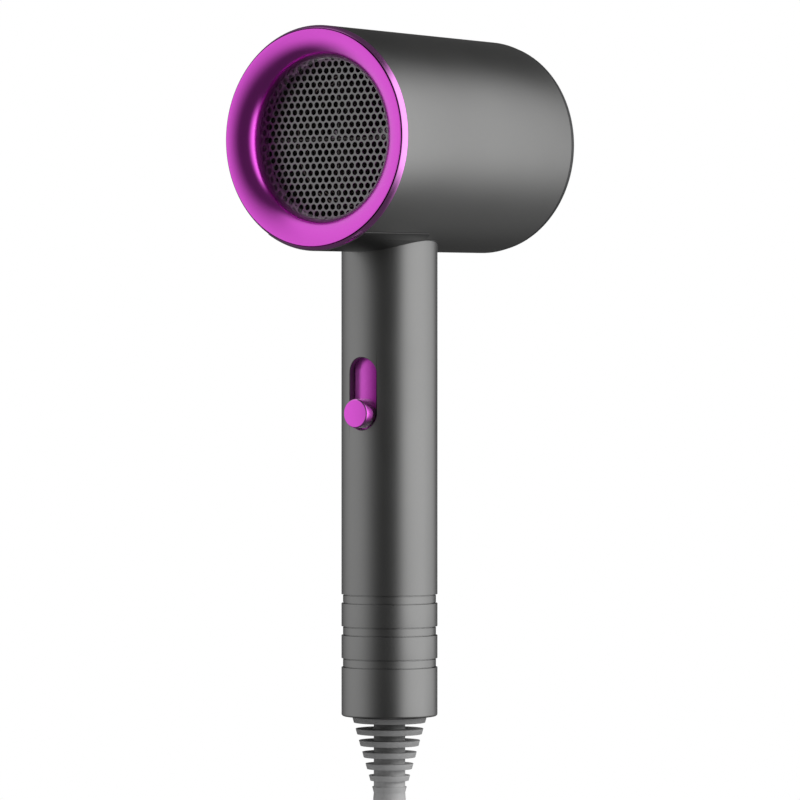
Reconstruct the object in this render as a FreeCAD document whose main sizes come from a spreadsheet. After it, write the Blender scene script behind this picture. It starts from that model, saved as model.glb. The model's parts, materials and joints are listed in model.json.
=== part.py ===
import FreeCAD, Part
import math
import operator
import os
from types import SimpleNamespace

import Sketcher

# Travel hair dryer: a level barrel carried on an upright handle.
# +Z runs up the handle's axis and the air leaves towards -Y.
# The origin is on the handle's axis, half way up the plain collar at its foot.
# Heights in the sheet are above the handle's foot. Places along the barrel are
# distances from the handle's axis, in front of it or behind it. Millimetres.

dimensions = {
    # frame
    "collar_mount_height": 9.6,
    "fit_gap": 0.1,
    "loose_gap": 0.2,
    "run_gap": 0.3,
    "skin_gap": 0.05,
    # handle tube
    "handle_radius": 18.0,
    "handle_wall": 2.6,
    "foot_round": 0.9,
    "groove_width": 3.34,
    "groove_pitch": 11.97,
    "groove_depth": 0.56,
    "lowest_groove": 18.43,
    "ledge_height": 4.0,
    "ledge_thickness": 1.0,
    "ledge_width": 1.1,
    "hole_gap": 0.05,
    "cut_past": 1.0,
    # switch slot, slide and knob
    "slot_width": 12.3,
    "slot_drop": 80.7,
    "slot_length": 27.0,
    "slide_thickness": 1.6,
    "slide_half_width": 9.2,
    "slide_overlap": 2.0,
    "knob_gap": 0.7,
    "knob_stand": 4.0,
    "knob_chamfer": 0.45,
    "lever_width": 3.0,
    "lever_tall": 4.0,
    "lever_depth": 2.4,
    "lever_gap": 0.45,
    "switch_width": 10.0,
    "switch_depth": 10.0,
    "switch_margin": 8.0,
    "switch_setback": 1.6,
    "switch_stage_edge": 1.0,
    # chassis inside the handle
    "chassis_thickness": 2.0,
    "chassis_side_gap": 1.8,
    "chassis_bottom": 12.0,
    "boss_inset": 4.1,
    "boss_radius": 2.6,
    "boss_length": 12.0,
    "screw_radius": 1.0,
    "screw_head_radius": 2.0,
    "screw_head_height": 1.3,
    "screw_length": 9.0,
    "screw_recess": 1.8,
    "board_length": 40.0,
    "board_side_gap": 4.4,
    "board_thickness": 1.6,
    "standoff_height": 1.5,
    "standoff_radius": 1.8,
    "standoff_rise": 4.0,
    "standoff_inset": 3.0,
    "board_bottom": 52.0,
    "capacitor_width": 13.0,
    "capacitor_length": 17.0,
    "capacitor_back_gap": 2.8,
    "clamp_height": 22.0,
    "clamp_tall": 6.0,
    "clamp_thickness": 2.5,
    "clamp_leg_radius": 1.8,
    "clamp_screw_radius": 0.9,
    "cord_inner_top": 34.0,
    # strain relief
    "relief_neck_radius": 6.8,
    "relief_flange_height": 2.5,
    "relief_core_radius": 5.9,
    "relief_first_ring": 0.4,
    "relief_ring_radius": 13.95,
    "relief_ring_lip": 0.6,
    "relief_ring_pitch": 4.36,
    "relief_ring_thickness": 2.05,
    "relief_ring_slope": 0.55,
    "relief_sleeve_radius": 6.1,
    "relief_length": 48.0,
    "relief_end_round": 0.8,
    # neck between handle and barrel
    "neck_height": 16.55,
    "neck_inset": 6.4,
    "neck_wall": 1.6,
    "neck_flange_thickness": 3.0,
    "neck_hook_radius": 13.0,
    "neck_hook_thickness": 1.1,
    "saddle_thickness": 0.4,
    "saddle_half_width": 22.0,
    # barrel
    "barrel_height": 215.1,
    "barrel_front": 46.0,
    "barrel_rear": 62.7,
    "barrel_radius": 40.55,
    "barrel_taper": 0.83,
    "barrel_wall": 1.65,
    "barrel_edge": 0.3,
    # front ring
    "ring_nose": 2.5,
    "ring_step": 0.6,
    "ring_step_width": 0.45,
    "ring_lip_inset": 1.58,
    "ring_band_arc": 2.4,
    "bell_length": 6.3,
    "bell_width": 8.6,
    "bell_throat_arc": 5.2,
    "throat_length": 6.2,
    "throat_wall": 2.0,
    "spigot_wall": 1.6,
    "spigot_length": 6.0,
    "ring_web": 1.8,
    # front grille and its retainer
    "grille_thickness": 0.8,
    "grille_hole_radius": 1.05,
    "grille_pitch": 2.9,
    "grille_margin": 1.7,
    "retainer_margin": 0.6,
    "retainer_web": 2.0,
    "retainer_lip": 4.0,
    # heater
    "liner_gap": 1.4,
    "liner_thickness": 0.5,
    "liner_rear_gap": 2.0,
    "mica_thickness": 0.8,
    "mica_front_gap": 0.7,
    "mica_rear_gap": 1.0,
    "mica_wing": 5.0,
    "mica_half_width": 24.0,
    "coil_wire_radius": 0.6,
    "coil_start": 8.5,
    "coil_pitch": 5.0,
    "thermostat_length": 12.0,
    "thermostat_height": 4.0,
    "fuse_radius": 1.8,
    "fuse_length": 12.0,
    "guard_offset": 12.0,
    # fan duct
    "duct_lead": 2.0,
    "duct_seat_gap": 1.0,
    "duct_wall": 1.5,
    "cup_lead": 1.0,
    "cup_wall": 1.9,
    "cup_end": 1.2,
    "cup_hole": 5.0,
    "vane_thickness": 1.6,
    "vane_start": 4.0,
    "vane_length": 20.0,
    "vane_root": 0.3,
    # motor
    "motor_length": 29.0,
    "motor_radius": 14.0,
    "motor_wall": 1.0,
    "cap_thickness": 3.0,
    "bush_radius": 2.95,
    "bush_length": 4.0,
    "bush_flange_radius": 4.2,
    "bush_flange_thickness": 1.0,
    "shaft_radius": 1.15,
    "shaft_clearance": 0.03,
    "shaft_nose": 0.3,
    "magnet_thickness": 1.7,
    "magnet_front_gap": 3.0,
    "magnet_rear_gap": 2.0,
    "magnet_gap": 11.0,
    "stack_length": 12.0,
    "stack_air_gap": 0.7,
    "stack_slot": 2.4,
    "coil_end_length": 2.5,
    "coil_end_step": 1.4,
    "commutator_radius": 3.2,
    "commutator_length": 3.0,
    "commutator_gap": 0.5,
    "motor_board_inset": 0.6,
    # impeller
    "hub_rear_gap": 0.5,
    "hub_cup_gap": 0.8,
    "hub_length": 9.5,
    "hub_radius": 13.0,
    "hub_wall": 1.8,
    "hub_boss_radius": 3.6,
    "shaft_seat": 1.5,
    "blade_tip_gap": 0.6,
    "blade_root": 0.8,
    "blade_chord": 11.0,
    "blade_thickness": 1.4,
    # rear cover and filter
    "cover_stand": 2.4,
    "cover_rim_inset": 0.45,
    "cover_rim_round": 0.5,
    "cover_plate": 1.6,
    "cover_skirt_wall": 1.8,
    "cover_skirt_length": 4.7,
    "vent_first_radius": 8.0,
    "vent_width": 2.3,
    "vent_pitch": 4.5,
    "spoke_width": 2.6,
    "filter_thickness": 0.4,
    # wires inside
    "mains_wire_radius": 0.8,
    "motor_lead_radius": 0.6,
    # cord, hank, tie and plug
    "cord_radius": 3.5,
    "hank_centre_drop": 165.4,
    "hank_half_height": 72.0,
    "hank_end_radius": 21.5,
    "hank_waist": 12.75,
    "hank_half_depth": 17.75,
    "hank_skin": 0.2,
    "hank_shoulder": 10.75,
    "tie_height": 12.0,
    "tie_thickness": 1.2,
    "plug_radius": 18.3,
    "plug_edge": 1.2,
    "plug_neck_taper": 0.8,
    "plug_shoulder_rise": 1.5,
    "plug_face_length": 13.0,
    "plug_shoulder_length": 14.0,
    "plug_grip_radius": 10.5,
    "plug_neck_radius": 5.6,
    "plug_neck_length": 13.0,
    "plug_notch_width": 9.0,
    "plug_notch_depth": 3.4,
    "plug_pin_radius": 2.4,
    "plug_pin_length": 19.0,
    "plug_pin_spacing": 19.0,
    "plug_pin_tip": 1.0,
}

groove_count = 3
relief_ring_count = 7
coil_count = 5
vane_count = 7
blade_count = 9
stack_slot_count = 5
spoke_count = 6
blade_angle = 50
route_share = 0.45

# Points of the cord's two free stretches, below the strain relief's end.
lead_route = [(0, 0, 0), (0, 0, -14), (0, -5, -28), (-1, -9, -41)]
tail_route = [
    (-20, 21.5, -70),
    (-20, 22.5, -92),
    (-18, 29, -114),
    (-16, 36, -136),
    (-16, 38.5, -158),
]
# Points of one wire inside the handle; the other is its mirror.
# Each height is above or below the level that is named with it.
wire_route = [
    (1.8, 0, "cord end", 0.1),
    (2.2, 0, "cord end", 9),
    (9.6, 0, "cord end", 28),
    (9.6, 0, "cord end", 62),
    (9.6, 0.5, "neck", -14),
    (5, 2.2, "neck", 4),
    (4, 2.4, "barrel", -35.1),
    (4, 2.4, "barrel", -0.5),
]
motor_lead_route = [
    (6, 7.8, "board", 0.2),
    (6, 7.8, "board", 18),
    (3, 7, "neck", -20),
    (1.6, 6.4, "neck", -6),
    (1.6, 5.6, "barrel", -37.1),
    (2.2, 7.5, "barrel", -24.1),
    (3, 13.6, "barrel", -10.1),
]

UPRIGHT = FreeCAD.Rotation()
REARWARD = FreeCAD.Rotation(FreeCAD.Vector(1, 0, 0), -90)
FORWARD = FreeCAD.Rotation(FreeCAD.Vector(1, 0, 0), 90)
DOWNWARD = FreeCAD.Rotation(FreeCAD.Vector(1, 0, 0), 180)
SIDEWAYS = FreeCAD.Rotation(FreeCAD.Vector(0, 1, 0), 90)

document = FreeCAD.newDocument("travel_hair_dryer")
sheet = document.addObject("Spreadsheet::Sheet", "sizes")
nodes = {}


# ---- sizes that carry their sheet expression ----

operations = {
    "+": operator.add,
    "-": operator.sub,
    "*": operator.mul,
    "/": operator.truediv,
}


class Size:
    """A number together with the sheet expression that gives it."""

    def __init__(self, value, text):
        self.value = value
        self.text = text

    def __add__(self, other):
        return joined(self, "+", other)

    def __radd__(self, other):
        return joined(other, "+", self)

    def __sub__(self, other):
        return joined(self, "-", other)

    def __rsub__(self, other):
        return joined(other, "-", self)

    def __mul__(self, other):
        return joined(self, "*", other)

    def __rmul__(self, other):
        return joined(other, "*", self)

    def __truediv__(self, other):
        return joined(self, "/", other)

    def __neg__(self):
        return joined(0, "-", self)


def as_size(given):
    return given if isinstance(given, Size) else Size(float(given), str(given))


def joined(first, sign, second):
    one = as_size(first)
    two = as_size(second)
    return Size(operations[sign](one.value, two.value), f"({one.text} {sign} {two.text})")


def number(given):
    return as_size(given).value


def fill_sheet():
    for row, (name, value) in enumerate(dimensions.items(), 1):
        sheet.set(f"A{row}", name)
        sheet.set(f"B{row}", str(value))
        sheet.setAlias(f"B{row}", name)
    document.recompute()
    cells = {name: Size(float(sheet.get(name)), f"sizes.{name}") for name in dimensions}
    return SimpleNamespace(**cells)


size = fill_sheet()
foot = -size.collar_mount_height
axis = foot + size.barrel_height

# handle
handle_bore = size.handle_radius - size.handle_wall
cap_seat = foot + size.ledge_height
chassis_seat = cap_seat + size.ledge_thickness
neck_seat = axis - size.barrel_radius - size.neck_height
chassis_front = size.cord_radius
chassis_back = chassis_front + size.chassis_thickness
boss_offset = handle_bore - size.boss_inset
boss_middle = (chassis_front + chassis_back) / 2
board_face = chassis_back + size.standoff_height
board_back = board_face + size.board_thickness
board_low = foot + size.board_bottom
board_high = board_low + size.board_length
neck_outer = handle_bore - size.neck_inset
neck_inner = neck_outer - size.neck_wall

# switch
slot_high = axis - size.slot_drop
slot_low = slot_high - size.slot_length
knob_travel = size.slot_length - size.slot_width
knob_radius = size.slot_width / 2 - size.knob_gap
knob_middle = slot_low + size.slot_width / 2
slide_outer = handle_bore - size.run_gap
slide_inner = slide_outer - size.slide_thickness
switch_front = size.switch_setback - slide_inner
switch_back = switch_front + size.switch_depth
switch_low = knob_middle - size.switch_margin
switch_high = knob_middle + knob_travel + size.switch_margin

# barrel and front ring
barrel_bore = size.barrel_radius - size.barrel_wall
barrel_front_radius = size.barrel_radius + size.barrel_taper
spigot_radius = barrel_bore - size.fit_gap
ring_front = size.barrel_front + size.ring_nose
ring_lip_radius = barrel_front_radius - size.ring_lip_inset
ring_band_radius = ring_lip_radius + size.ring_step_width
ring_web_back = size.barrel_front - size.ring_web
throat_radius = ring_lip_radius - size.bell_width
throat_outer = throat_radius + size.throat_wall
grille_face = ring_front - size.bell_length - size.throat_length
grille_back = grille_face - size.grille_thickness
retainer_back = grille_back - size.retainer_web
retainer_inner = throat_radius - size.retainer_margin

# rear cover, fan and motor, from the back to the front
cover_rear = size.barrel_rear + size.cover_stand
cover_plate_front = cover_rear - size.cover_plate
skirt_front = size.barrel_rear - size.cover_skirt_length
skirt_inner = spigot_radius - size.cover_skirt_wall
duct_rear = skirt_front - size.duct_seat_gap
duct_outer = barrel_bore - size.loose_gap
duct_inner = duct_outer - size.duct_wall
hub_rear = duct_rear - size.hub_rear_gap
hub_front = hub_rear - size.hub_length
cup_rear = hub_front - size.hub_cup_gap
motor_rear = cup_rear - size.cup_end
motor_front = motor_rear - size.motor_length
motor_bore = size.motor_radius - size.motor_wall
motor_hole = size.shaft_radius + size.shaft_clearance
shaft_front = motor_front - size.shaft_nose
shaft_rear = hub_rear - size.shaft_seat
cap_rear = motor_front + size.cap_thickness
commutator_front = cap_rear + size.bush_flange_thickness + size.commutator_gap
commutator_rear = commutator_front + size.commutator_length
stack_front = commutator_rear + size.coil_end_length
stack_rear = stack_front + size.stack_length
stack_radius = motor_bore - size.magnet_thickness - size.stack_air_gap
cup_inner = size.motor_radius + size.fit_gap
cup_outer = cup_inner + size.cup_wall
duct_front = motor_front - size.duct_lead

# heater
liner_outer = barrel_bore - size.liner_gap
liner_inner = liner_outer - size.liner_thickness
liner_rear = duct_front - size.liner_rear_gap
mica_front = retainer_back - size.mica_front_gap
mica_rear = liner_rear - size.mica_rear_gap
coil_first = mica_front - size.coil_start

# strain relief and hank
sleeve_end = foot - size.relief_length
relief_bore = size.cord_radius + size.hole_gap
relief_flange = boss_offset - size.boss_radius
relief_reach = size.relief_ring_radius - size.relief_core_radius - size.relief_ring_lip
relief_ring_step = relief_reach / (relief_ring_count - 1)
hank_middle = foot - size.hank_centre_drop
hank_circle = size.hank_half_height - size.hank_end_radius
hank_outer = size.hank_end_radius + size.cord_radius + size.hank_skin
hank_eye = size.hank_end_radius - size.cord_radius - size.hank_skin

# the levels that the inner wires' heights are measured from
levels = {"cord end": foot + size.cord_inner_top, "board": board_high, "neck": neck_seat, "barrel": axis}


# ---- building blocks ----


def bound(item, name, given):
    """Sets a property, bound to the sheet where the value comes from it."""
    if isinstance(given, Size):
        item.setExpression(name, given.text)
    else:
        setattr(item, name, given)


def placed(item, x=0, y=0, z=0, turn=UPRIGHT):
    """Puts an item at x, y, z and binds the places that come from the sheet."""
    item.Placement = FreeCAD.Placement(FreeCAD.Vector(number(x), number(y), number(z)), turn)
    for letter, given in zip("xyz", (x, y, z)):
        if isinstance(given, Size):
            item.setExpression(f"Placement.Base.{letter}", given.text)
    return item


def round_bar(radius, length, x=0, y=0, z=0, turn=UPRIGHT):
    """A cylinder that starts at x, y, z and runs along the turned Z axis."""
    item = document.addObject("Part::Cylinder", "bar")
    bound(item, "Radius", radius)
    bound(item, "Height", length)
    return placed(item, x, y, z, turn)


def block(across, along, upward):
    """A box between a low and a high value on X, Y and Z."""
    item = document.addObject("Part::Box", "block")
    for name, (low, high) in zip(("Length", "Width", "Height"), (across, along, upward)):
        bound(item, name, as_size(high) - low)
    return placed(item, across[0], along[0], upward[0])


def fused(*items):
    item = document.addObject("Part::MultiFuse", "joined")
    item.Shapes = list(items)
    item.Refine = True
    return item


def cut(base, *tools):
    item = document.addObject("Part::Cut", "cut")
    item.Base = base
    item.Tool = tools[0] if len(tools) == 1 else fused(*tools)
    item.Refine = True
    return item


def common(*items):
    item = document.addObject("Part::MultiCommon", "overlap")
    item.Shapes = list(items)
    item.Refine = True
    return item


def group(*items):
    """Several separate solids that are one node."""
    item = document.addObject("Part::Compound", "group")
    item.Links = list(items)
    return item


def copied(item, turn, x=0, y=0, z=0):
    """The same item once more, turned about the origin and then moved."""
    again = document.addObject("Part::Compound", "copy")
    again.Links = [item]
    return placed(again, x, y, z, turn)


def node(label, item):
    item.Label = label
    nodes[label] = item
    return item


def ring_of(item, count, z):
    """Copies of an item spread evenly about the barrel's axis."""
    spread = []
    for index in range(count):
        turn = FreeCAD.Rotation(FreeCAD.Vector(0, 1, 0), 360.0 * index / count)
        spread.append(copied(item, turn, z=z))
    return spread


def arc_middle(start, finish, radius, side):
    """A point half way along the short arc, bulging to the left of the way from start to finish."""
    chord = finish - start
    rise = radius - math.sqrt(max(radius * radius - chord.Length**2 / 4, 0))
    left = FreeCAD.Vector(-chord.y, chord.x, 0)
    left.normalize()
    return (start + finish) * 0.5 + left * (rise * side)


def outline_sketch(body, plane_role, corners):
    """A closed sketch through corners, each (across, up) or (across, up, arc radius to the next, side)."""
    plane = next(f for f in body.Origin.OriginFeatures if f.Role == plane_role)
    sketch = body.newObject("Sketcher::SketchObject", "outline")
    sketch.AttachmentSupport = [(plane, "")]
    sketch.MapMode = "FlatFace"
    points = [FreeCAD.Vector(number(c[0]), number(c[1]), 0) for c in corners]
    for index, corner in enumerate(corners):
        start = points[index]
        finish = points[(index + 1) % len(points)]
        if len(corner) > 2:
            middle = arc_middle(start, finish, number(corner[2]), corner[3])
            sketch.addGeometry(Part.Arc(start, middle, finish), False)
        else:
            sketch.addGeometry(Part.LineSegment(start, finish), False)
    starts = []
    for index, point in enumerate(points):
        near_start = (sketch.getPoint(index, 1) - point).Length < 1e-6
        starts.append((1, 2) if near_start else (2, 1))
    for index, corner in enumerate(corners):
        following = (index + 1) % len(corners)
        own, far = starts[index]
        sketch.addConstraint(Sketcher.Constraint("Coincident", index, far, following, starts[following][0]))
        for kind, axis_line, given in (("DistanceX", -2, corner[0]), ("DistanceY", -1, corner[1])):
            if number(given) == 0 and not isinstance(given, Size):
                sketch.addConstraint(Sketcher.Constraint("PointOnObject", index, own, axis_line))
                continue
            made = sketch.addConstraint(Sketcher.Constraint(kind, -1, 1, index, own, number(given)))
            if isinstance(given, Size):
                sketch.setExpression(f"Constraints[{made}]", given.text)
        if len(corner) > 2:
            made = sketch.addConstraint(Sketcher.Constraint("Radius", index, number(corner[2])))
            if isinstance(corner[2], Size):
                sketch.setExpression(f"Constraints[{made}]", corner[2].text)
    return sketch


def turned(corners, x=0, y=0, z=0, turn=UPRIGHT):
    """A body turned from an outline of (radius, height along its own Z axis)."""
    body = document.addObject("PartDesign::Body", "turned")
    sketch = outline_sketch(body, "XZ_Plane", corners)
    revolution = body.newObject("PartDesign::Revolution", "revolution")
    revolution.Profile = sketch
    revolution.ReferenceAxis = (sketch, ["V_Axis"])
    revolution.Angle = 360
    sketch.Visibility = False
    return placed(body, x, y, z, turn)


def on_barrel(corners):
    """A body turned about the barrel's axis; heights in the outline are places behind the handle's axis."""
    return turned(corners, z=axis, turn=REARWARD)


def padded(corners, depth, x=0, y=0, z=0):
    """A body padded both ways along Y from an outline of (x, z)."""
    body = document.addObject("PartDesign::Body", "padded")
    sketch = outline_sketch(body, "XZ_Plane", corners)
    pad = body.newObject("PartDesign::Pad", "pad")
    pad.Profile = sketch
    bound(pad, "Length", depth)
    pad.SideType = "Symmetric"
    sketch.Visibility = False
    return placed(body, x, y, z)


def barrel_cone(extra):
    """The barrel's outer form, grown by extra."""
    item = document.addObject("Part::Cone", "barrel_form")
    bound(item, "Radius1", barrel_front_radius + extra)
    bound(item, "Radius2", size.barrel_radius + extra)
    bound(item, "Height", size.barrel_front + size.barrel_rear)
    return placed(item, 0, -size.barrel_front, axis, REARWARD)


def plain_feature(label, shape):
    item = document.addObject("Part::Feature", "shape")
    item.Shape = shape
    return node(label, item)


def tube_shape(route, radius, label):
    """A tube of straight runs joined by tangent arcs, with its volume checked against its length."""
    edges = []
    radii = []
    last = route[0]
    for before, corner, after in zip(route, route[1:], route[2:]):
        back = before - corner
        ahead = after - corner
        half_turn = (math.pi - back.getAngle(ahead)) / 2
        reach = route_share * min(back.Length, ahead.Length)
        back.normalize()
        ahead.normalize()
        if half_turn < 1e-6:
            continue
        arc_radius = reach / math.tan(half_turn)
        radii.append(arc_radius)
        inward = back + ahead
        inward.normalize()
        middle = corner + inward * (math.hypot(reach, arc_radius) - arc_radius)
        start = corner + back * reach
        finish = corner + ahead * reach
        edges.append(Part.LineSegment(last, start).toShape())
        edges.append(Part.Arc(start, middle, finish).toShape())
        last = finish
    edges.append(Part.LineSegment(last, route[-1]).toShape())
    path = Part.Wire(edges)
    section = Part.Wire([Part.Circle(route[0], route[1] - route[0], radius).toShape()])
    tube = path.makePipeShell([section], True, False)
    expected = math.pi * radius**2 * path.Length
    rounded = [round(each, 1) for each in radii]
    print(f"{label}: {path.Length:.1f} mm, arc radii {rounded}, volume ratio {tube.Volume / expected:.4f}")
    return tube


# ---- handle ----


def make_handle_tube():
    top = axis - barrel_bore / 2
    outer = size.handle_radius
    corners = [
        (handle_bore, foot),
        (outer - size.foot_round, foot, size.foot_round, -1),
        (outer, foot + size.foot_round),
    ]
    for index in range(groove_count):
        low = foot + size.lowest_groove + size.groove_pitch * index
        high = low + size.groove_width
        bottom = outer - size.groove_depth
        corners += [(outer, low), (bottom, low), (bottom, high), (outer, high)]
    ledge_radius = handle_bore - size.ledge_width
    corners += [(outer, top), (handle_bore, top), (handle_bore, chassis_seat)]
    corners += [(ledge_radius, chassis_seat), (ledge_radius, cap_seat), (handle_bore, cap_seat)]
    tube = turned(corners)
    half = size.slot_width / 2
    front = -outer - size.handle_wall
    low_centre = slot_low + half
    high_centre = slot_high - half
    depth = outer
    slot = fused(
        block((-half, half), (front, front + depth), (low_centre, high_centre)),
        round_bar(half, depth, 0, front, low_centre, REARWARD),
        round_bar(half, depth, 0, front, high_centre, REARWARD),
    )
    node("handle_tube", cut(tube, slot, barrel_cone(size.saddle_thickness + size.fit_gap)))


def make_chassis():
    bottom = foot + size.chassis_bottom
    half = handle_bore - size.chassis_side_gap
    spine = block((-half, half), (chassis_front, chassis_back), (bottom, neck_seat))
    half_stage = size.switch_width / 2 + size.switch_stage_edge
    stage = block((-half_stage, half_stage), (switch_back, chassis_front), (switch_low, switch_high))
    low_boss = bottom + size.boss_length - chassis_seat
    high_boss = neck_seat - size.boss_length
    hole = size.screw_radius + size.hole_gap
    bosses = []
    holes = []
    for side in (-1, 1):
        x = side * boss_offset
        bosses.append(round_bar(size.boss_radius, low_boss, x, boss_middle, chassis_seat))
        bosses.append(round_bar(size.boss_radius, size.boss_length, x, boss_middle, high_boss))
        holes.append(round_bar(hole, size.screw_length, x, boss_middle, chassis_seat))
        holes.append(round_bar(hole, size.screw_length, x, boss_middle, neck_seat - size.screw_length))
    standoffs = []
    reach = handle_bore - size.board_side_gap - size.standoff_inset
    for x in (-reach, reach):
        for height in (board_low + size.standoff_rise, board_high - size.standoff_rise):
            standoffs.append(
                round_bar(size.standoff_radius, size.standoff_height, x, chassis_back, height, REARWARD)
            )
    node("handle_chassis", cut(fused(spine, stage, *bosses, *standoffs), *holes))


def make_switch():
    half = size.switch_width / 2
    body = block((-half, half), (switch_front, switch_back), (switch_low, switch_high))
    half_tall = size.lever_tall / 2
    groove_half = size.lever_width / 2 + size.lever_gap
    low = knob_middle - half_tall - size.lever_gap
    high = knob_middle + knob_travel + half_tall + size.lever_gap
    groove_bottom = switch_front + size.lever_depth + size.lever_gap
    groove = block((-groove_half, groove_half), (switch_front - size.cut_past, groove_bottom), (low, high))
    node("slide_switch", cut(body, groove))
    lever = block(
        (-size.lever_width / 2, size.lever_width / 2),
        (-slide_outer, switch_front + size.lever_depth),
        (knob_middle - half_tall, knob_middle + half_tall),
    )
    inside = round_bar(slide_inner, size.handle_radius * 2, z=knob_middle - size.handle_radius)
    node("switch_lever", common(lever, inside))


def make_slide():
    bottom = slot_low - knob_travel - size.slide_overlap
    length = slot_high + size.slide_overlap - bottom
    shell = cut(round_bar(slide_outer, length, z=bottom), round_bar(slide_inner, length, z=bottom))
    front = block(
        (-size.slide_half_width, size.slide_half_width),
        (-size.handle_radius, -size.slide_half_width),
        (bottom, bottom + length),
    )
    node("slide_plate", common(shell, front))
    face = size.handle_radius + size.knob_stand
    corners = [
        (0, slide_inner),
        (knob_radius, slide_inner),
        (knob_radius, face - size.knob_chamfer),
        (knob_radius - size.knob_chamfer, face),
        (0, face),
    ]
    knob = turned(corners, z=knob_middle, turn=FORWARD)
    behind = round_bar(slide_outer, size.handle_radius * 2, z=knob_middle - size.handle_radius)
    node("switch_knob", cut(knob, behind))


def make_control_board():
    half = handle_bore - size.board_side_gap
    node("control_board", block((-half, half), (board_face, board_back), (board_low, board_high)))
    half = size.capacitor_width / 2
    low = board_low + (size.board_length - size.capacitor_length) / 2
    back = handle_bore - size.capacitor_back_gap
    node("mains_capacitor", block((-half, half), (board_back, back), (low, low + size.capacitor_length)))


def make_cord_clamp():
    half = boss_offset - size.boss_radius
    back = -size.cord_radius
    front = back - size.clamp_thickness
    low = foot + size.clamp_height
    middle = low + size.clamp_tall / 2
    bar = block((-half, half), (front, back), (low, low + size.clamp_tall))
    legs = []
    holes = []
    screws = []
    for side in (-1, 1):
        x = side * (size.cord_radius + half) / 2
        legs.append(round_bar(size.clamp_leg_radius, chassis_front - back, x, back, middle, REARWARD))
        hole = size.clamp_screw_radius + size.hole_gap
        start = front - size.cut_past
        holes.append(round_bar(hole, chassis_back - front, x, start, middle, REARWARD))
        shank = round_bar(size.clamp_screw_radius, chassis_front - front, x, front, middle, REARWARD)
        head = front - size.screw_head_height
        cap = round_bar(size.screw_head_radius, size.screw_head_height, x, head, middle, REARWARD)
        screws.append(fused(shank, cap))
    node("cord_clamp", cut(fused(bar, *legs), *holes))
    node("clamp_screws", group(*screws))


def make_end_cap():
    bottom = foot + size.relief_first_ring
    below = foot - size.cut_past
    disc = round_bar(handle_bore - size.loose_gap, cap_seat - bottom, z=bottom)
    tools = [round_bar(size.relief_neck_radius + size.hole_gap, size.handle_radius, z=below)]
    hole = size.screw_radius + size.hole_gap
    recess = size.screw_head_radius + size.loose_gap
    recess_depth = bottom + size.screw_recess - below
    for side in (-1, 1):
        x = side * boss_offset
        tools.append(round_bar(hole, size.handle_radius, x, boss_middle, below))
        tools.append(round_bar(recess, recess_depth, x, boss_middle, below))
    node("handle_end_cap", cut(disc, *tools))


def make_chassis_screws():
    low_seat = foot + size.relief_first_ring + size.screw_recess
    high_seat = neck_seat + size.neck_flange_thickness
    screws = []
    for side in (-1, 1):
        x = side * boss_offset
        for start, head in (
            (low_seat, low_seat - size.screw_head_height),
            (high_seat - size.screw_length, high_seat),
        ):
            shank = round_bar(size.screw_radius, size.screw_length, x, boss_middle, start)
            cap = round_bar(size.screw_head_radius, size.screw_head_height, x, boss_middle, head)
            screws.append(fused(shank, cap))
    node("chassis_screws", group(*screws))


def make_strain_relief():
    neck = size.relief_neck_radius
    corners = [(relief_bore, cap_seat + size.relief_flange_height)]
    corners.append((relief_flange, cap_seat + size.relief_flange_height))
    corners += [(relief_flange, cap_seat), (neck, cap_seat), (neck, foot - size.relief_first_ring)]
    for index in range(relief_ring_count):
        top = foot - size.relief_first_ring - size.relief_ring_pitch * index
        outer = size.relief_ring_radius - relief_ring_step * index
        bottom = top - size.relief_ring_thickness
        if index:
            corners.append((size.relief_core_radius, top))
        corners += [(outer, top), (outer - size.relief_ring_slope, bottom), (size.relief_core_radius, bottom)]
    start = foot - size.relief_first_ring - size.relief_ring_pitch * relief_ring_count
    end_round = size.relief_end_round
    corners += [(size.relief_sleeve_radius, start), (size.relief_sleeve_radius, sleeve_end + end_round)]
    corners += [(size.relief_sleeve_radius - end_round, sleeve_end), (relief_bore, sleeve_end)]
    node("strain_relief", turned(corners))


# ---- neck ----


def make_neck():
    flange = handle_bore - size.loose_gap
    flange_top = neck_seat + size.neck_flange_thickness
    top = axis - barrel_bore / 2
    tube = turned([
        (neck_inner, neck_seat),
        (flange, neck_seat),
        (flange, flange_top),
        (neck_outer, flange_top),
        (neck_outer, top),
        (neck_inner, top),
    ])
    hook_outer = barrel_bore - size.fit_gap / 2
    hook_inner = hook_outer - size.neck_hook_thickness
    length = size.neck_hook_radius * 3
    start = -length / 2
    air = round_bar(hook_inner, length, 0, start, axis, REARWARD)
    shell = cut(round_bar(hook_outer, length, 0, start, axis, REARWARD), air)
    below = round_bar(size.neck_hook_radius, barrel_bore, z=axis - barrel_bore - size.cut_past)
    way = round_bar(neck_inner, size.barrel_height, z=foot)
    hook = cut(common(shell, below), way)
    holes = []
    hole = size.screw_radius + size.hole_gap
    below = neck_seat - size.cut_past
    for side in (-1, 1):
        holes.append(round_bar(hole, size.screw_length, side * boss_offset, boss_middle, below))
    node("neck_insert", cut(fused(cut(tube, air), hook), *holes))


def make_saddle():
    width = size.saddle_half_width
    low = axis - barrel_front_radius - size.cut_past
    straight = block((-width, width), (-size.barrel_front, 0), (low, axis))
    back = round_bar(width, axis - low, z=low)
    skin = cut(barrel_cone(size.saddle_thickness), barrel_cone(size.skin_gap))
    way = round_bar(neck_outer + size.run_gap, size.barrel_height, z=foot)
    node("neck_saddle", cut(common(skin, fused(straight, back)), way))


# ---- barrel ----


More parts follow.
